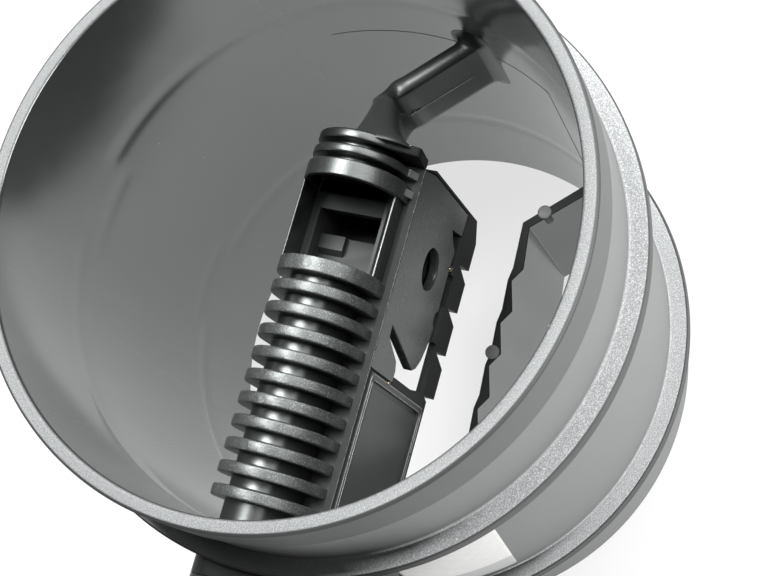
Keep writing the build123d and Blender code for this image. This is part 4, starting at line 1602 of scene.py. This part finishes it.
@dataclass
class Fence:
    """The saw-toothed wall across the outlet, with two round ejector pads on its top."""

    shop: Workshop
    top_z: float = 30.0
    thickness: float = 1.4
    y: float = -15.05
    corner_x: float = 21.9
    leg_angle: float = -46.9
    leg_length: float = 16.3
    teeth: int = 5
    pitch: float = 7.6
    depth: float = 1.5
    run: float = 2.4
    shift: float = 1.4
    root_t: float = 0.75
    outer: float = 0.35
    corner_inset: float = 0.7
    leg_end: tuple[float, float] = (0.2, 0.1)
    fold: float = 0.25
    leg_dull: float = 0.4
    edge: float = 0.12
    pad_r: float = 1.25
    pad_top: float = 0.15
    pad_depth: float = 3.0
    pad_inset: float = 0.7
    leg_pad: float = 3.6
    tooth_pad_x: float = -1.4

    def outline(self) -> Array:
        """The fence seen from above, leg by tooth by leg.

        The front runs one way and the back the other. The back has a point close to its first corner, so that
        the leg can have a mark of its own.

        Returns:
            The closed outline as (x, y).
        """
        heading = math.radians(self.leg_angle)
        leg = self.leg_length * np.array([math.cos(heading), math.sin(heading)])
        inner_y, x = self.y - self.thickness, self.corner_x - self.corner_inset
        front = [(self.corner_x + leg[0], self.y + leg[1]), (self.corner_x, self.y)]
        bend = self.fold / self.leg_length * leg
        end_x, end_y = x + leg[0] - self.leg_end[0], inner_y + leg[1] - self.leg_end[1]
        back = [(end_x, end_y), (x + bend[0], inner_y + bend[1]), (x, inner_y)]
        first = (self.teeth - 1) * self.pitch / 2 - self.shift
        for k in range(self.teeth):
            tooth = first - k * self.pitch
            front += [(tooth, self.y - self.outer), (tooth - self.run, self.y)]
            back += [(tooth, self.y - self.root_t - self.depth), (tooth - self.run, self.y - self.root_t)]
        front += [(-self.corner_x, self.y), (-self.corner_x - leg[0], self.y + leg[1])]
        back += [(-x, inner_y), (-end_x, end_y)]
        return np.array(front + back[::-1])

    def wall(self) -> Surface:
        """The fence's wall, matte on its top and duller on the leg that the last two corners bound.

        Returns:
            The closed surface with its marks.
        """
        surface = prism(self.outline(), Axis.Z, 0.0, self.top_z, self.edge)
        rows, corners = surface.points.shape[:2]
        top = np.arange(rows) > rows - 3
        leg = np.arange(corners) >= corners - 2
        surface.marks["dull"] = np.maximum(top[:, None], self.leg_dull * leg)
        return surface

    def pads(self) -> list[Surface]:
        """The two ejector pads, one on the leg and one among the teeth.

        Returns:
            A closed surface for each pad.
        """
        heading = math.radians(self.leg_angle)
        r, top, y = self.pad_r, self.pad_top, self.y - self.pad_inset
        on_leg = (self.corner_x + self.leg_pad * math.cos(heading), y + self.leg_pad * math.sin(heading))
        shape = [(r - 0.15, -self.pad_depth), (r, 0.4 - self.pad_depth), (r, 0.02)]
        shape += [(r - 0.06, top - 0.03), (r - 0.2, top), (AXIS_GAP, top)]
        return [knob([*place, self.top_z], UP, shape) for place in (on_leg, (self.tooth_pad_x, y))]

    def build(self) -> None:
        """Make the fence and its pads in place of the plain moulding."""
        wall = self.shop.piece("fence", [self.wall()], TUBE_FINISH, Slot.TUBE)
        # The pads are painted a lighter grey: painted light on their tops.
        pads = self.shop.piece("fence_pads", self.pads(), PAINTED_LIT_FINISH, Slot.TUBE)
        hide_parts("flow_tube")
        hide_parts("flow_tube")


@dataclass
class PlugInSensor:
    """The sensor that plugs through the pad: blade, covers, electronics, terminals and screws."""

    shop: Workshop
    edge: float = 0.16
    cover_edge: float = 0.25
    fine_edge: float = 0.12
    quiet: tuple[Place, Place] = ((5.0, -8.5, 55.0), (20.0, 8.5, 66.5))
    terminals: int = 5
    capacitors: int = 3
    screws: int = 2
    contacts: tuple[Place, ...] = ((8.2, -9.2, 43.3), (-14.7, -9.3, 57.0))
    contact_shape: tuple[tuple[float, float], ...] = (
        (0.4, -0.5), (0.4, 0.15), (0.28, 0.3), (AXIS_GAP, 0.34),
    )
    ridge_insets: tuple[float, float] = (0.2, 1.0)
    ridge_corner: float = 0.9
    ridge_r: float = 0.08
    ridge_sunk: float = 0.02

    def ridges(self) -> list[Surface]:
        """The two fine ridges round the electronics cover's border, each a rounded frame on its front.

        Returns:
            A closed surface for each ridge.
        """
        low, high = (np.array(c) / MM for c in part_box("electronics_cover"))
        frame = np.array([(low[0], low[2]), (high[0], low[2]), (high[0], high[2]), (low[0], high[2])])
        loops = []
        for depth in self.ridge_insets:
            x, z = rounded_path(inset(frame, depth), [self.ridge_corner] * 4, 6).T
            path = np.column_stack([x, np.full_like(x, low[1] + self.ridge_sunk), z])
            loops.append(bead(path, REARWARD, self.ridge_r, closed=True))
        return loops

    def build(self) -> None:
        """Round the visible mouldings' edges and paint the pieces inside."""
        self.shop.eased_copy("sensor_body", SENSOR_FINISH, Slot.SENSOR, self.edge, self.quiet)
        self.shop.eased_copy("bypass_cover", COVER_FINISH, Slot.COVER, self.cover_edge)
        self.shop.eased_copy("electronics_cover", PANEL_FINISH, Slot.COVER, self.fine_edge)
        # The ridges' bright metal is a painted highlight.
        self.shop.piece("cover_ridges", self.ridges(), RIDGE_HIGHLIGHT_FINISH, Slot.COVER)
        dots = [knob(place, -REARWARD, self.contact_shape) for place in self.contacts]
        self.shop.piece("contact_dots", dots, BRASS_FINISH, Slot.BRASS)
        for k in range(self.screws):
            self.shop.eased_copy(f"mounting_screw_{k + 1}", STEEL_FINISH, Slot.STEEL, self.fine_edge)
        for k in range(self.terminals):
            self.shop.paint(f"terminal_{k + 1}", BRASS_FINISH)
        for k in range(self.capacitors):
            self.shop.paint(f"capacitor_{k + 1}", CERAMIC_FINISH)
        for node, finish in INNER_FINISHES.items():
            self.shop.paint(node, finish)


@dataclass
class SideLabel:
    """The blank paper label on the tube's outside, stuck on slightly askew."""

    shop: Workshop
    inner_r: float = 43.98
    outer_r: float = 44.15
    z: tuple[float, float] = (26.4, 56.4)
    right_edge: float = -140.7
    lean: float = 0.158
    width: float = 22.3
    columns: int = 28
    rows: int = 20

    def sheet(self) -> Surface:
        """The thin bent sheet: loops at rising z, out along the outer radius and back along the inner one.

        The edges lean with height: angle = right edge + lean * (z - lower z).

        Returns:
            The closed surface.
        """
        z = np.linspace(*self.z, self.rows)[:, None]
        across = np.linspace(0, self.width, self.columns)
        edge = self.right_edge + self.lean * (z - self.z[0])
        angle = np.radians(edge - np.concatenate([across, across[::-1]]))
        r = np.repeat([self.outer_r, self.inner_r], self.columns)
        return Surface(np.stack([r * np.cos(angle), r * np.sin(angle), z + 0 * angle], -1))

    def build(self) -> None:
        """Make the label in place of the plain one."""
        label = self.shop.piece("side_label", [self.sheet()], LabelPaper("label_paper"), Slot.LABEL)
        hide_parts("paper_label")


@dataclass(frozen=True)
class Lamp:
    """A square lamp.

    Attributes:
        name: The lamp's name.
        place: Its place in metres.
        size: Its side in metres.
        power: Its power in watts.
    """

    name: str
    place: Place
    size: float
    power: float


@dataclass
class Studio:
    """The floor, the soft light and the camera at the photograph's viewing angle."""

    eye: Place = (-49.6, -94.4, 284.9)
    forward: Place = (0.1981, 0.3603, -0.9115)
    right: Place = (0.2666, -0.9147, -0.3037)
    lens: float = 75.0
    sensor_width: float = 36.0
    nearest: float = 10.0
    aim: Place = (0.0, 0.0, 0.05)
    lamps: tuple[Lamp, ...] = (
        Lamp("key", (0.2, 0.28, 0.85), 0.34, 9.0),
        Lamp("window", (0.55, -0.45, 0.85), 1.1, 17.0),
        Lamp("side", (0.0, -1.05, 0.11), 0.7, 20.0),
    )
    floor_half: float = 12.0
    floor_gap: float = 0.2
    floor_white: float = 0.72
    floor_color: Color = (0.93, 0.93, 0.925)
    world_color: Color = (0.95, 0.97, 1.0)
    world_strength: float = 0.09

    def camera(self) -> None:
        """Place the camera."""
        data = bpy.data.cameras.new("camera")
        data.lens = self.lens
        data.sensor_width = self.sensor_width
        data.clip_start = self.nearest * MM
        ahead = Vector(self.forward).normalized()
        side = Vector(self.right)
        side = (side - side.dot(ahead) * ahead).normalized()
        up = side.cross(ahead)
        turn = Matrix((side, up, -ahead)).transposed().to_4x4()
        obj = bpy.data.objects.new("camera", data)
        obj.matrix_world = Matrix.Translation(Vector(self.eye) * MM) @ turn
        bpy.context.scene.collection.objects.link(obj)
        bpy.context.scene.camera = obj

    def hang(self, lamp: Lamp) -> None:
        """Add a lamp that looks at the middle of the part.

        Args:
            lamp: The lamp.
        """
        data = bpy.data.lights.new(lamp.name, "AREA")
        data.size = lamp.size
        data.energy = lamp.power
        obj = bpy.data.objects.new(lamp.name, data)
        obj.location = lamp.place
        ahead = Vector(self.aim) - Vector(lamp.place)
        obj.rotation_euler = ahead.to_track_quat("-Z", "Y").to_euler()
        bpy.context.scene.collection.objects.link(obj)

    def floor(self) -> None:
        """Lay the pale floor under the outlet rim."""
        half = self.floor_half
        mesh = bpy.data.meshes.new("floor")
        z = -self.floor_gap * MM
        corners = [(-half, -half, z), (half, -half, z), (half, half, z), (-half, half, z)]
        mesh.from_pydata(corners, [], [[0, 1, 2, 3]])
        obj = bpy.data.objects.new("floor", mesh)
        bpy.context.scene.collection.objects.link(obj)
        g = NodeGraph("pale_floor")
        mottle = g.remap(g.noise(30.0, 4.0), (0.3, 0.7))
        color = g.mix(mottle, toned(self.floor_color, 0.97), self.floor_color)
        mesh.materials.append(g.finish(color, 0.65))
        g.whiten(self.floor_white)

    def light(self) -> None:
        """Set the world's soft light and the lamps."""
        world = bpy.data.worlds.new("studio")
        world.use_nodes = True
        back = world.node_tree.nodes["Background"]
        back.inputs["Color"].default_value = (*self.world_color, 1.0)
        back.inputs["Strength"].default_value = self.world_strength
        bpy.context.scene.world = world
        for lamp in self.lamps:
            self.hang(lamp)

    def build(self) -> None:
        """Set up the whole studio."""
        self.camera()
        self.floor()
        self.light()
        bpy.context.scene.view_settings.view_transform = "Standard"


def main() -> None:
    """Build every sub-assembly in order."""
    logging.basicConfig(level=logging.INFO, format="%(name)s: %(message)s")
    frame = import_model()
    shop = Workshop(frame)
    moulding = (FlowTube(shop), Fairing(shop), Strut(shop), Fence(shop))
    for part in (*moulding, PlugInSensor(shop), SideLabel(shop), Studio()):
        part.build()


if __name__ == "__main__":
    main()
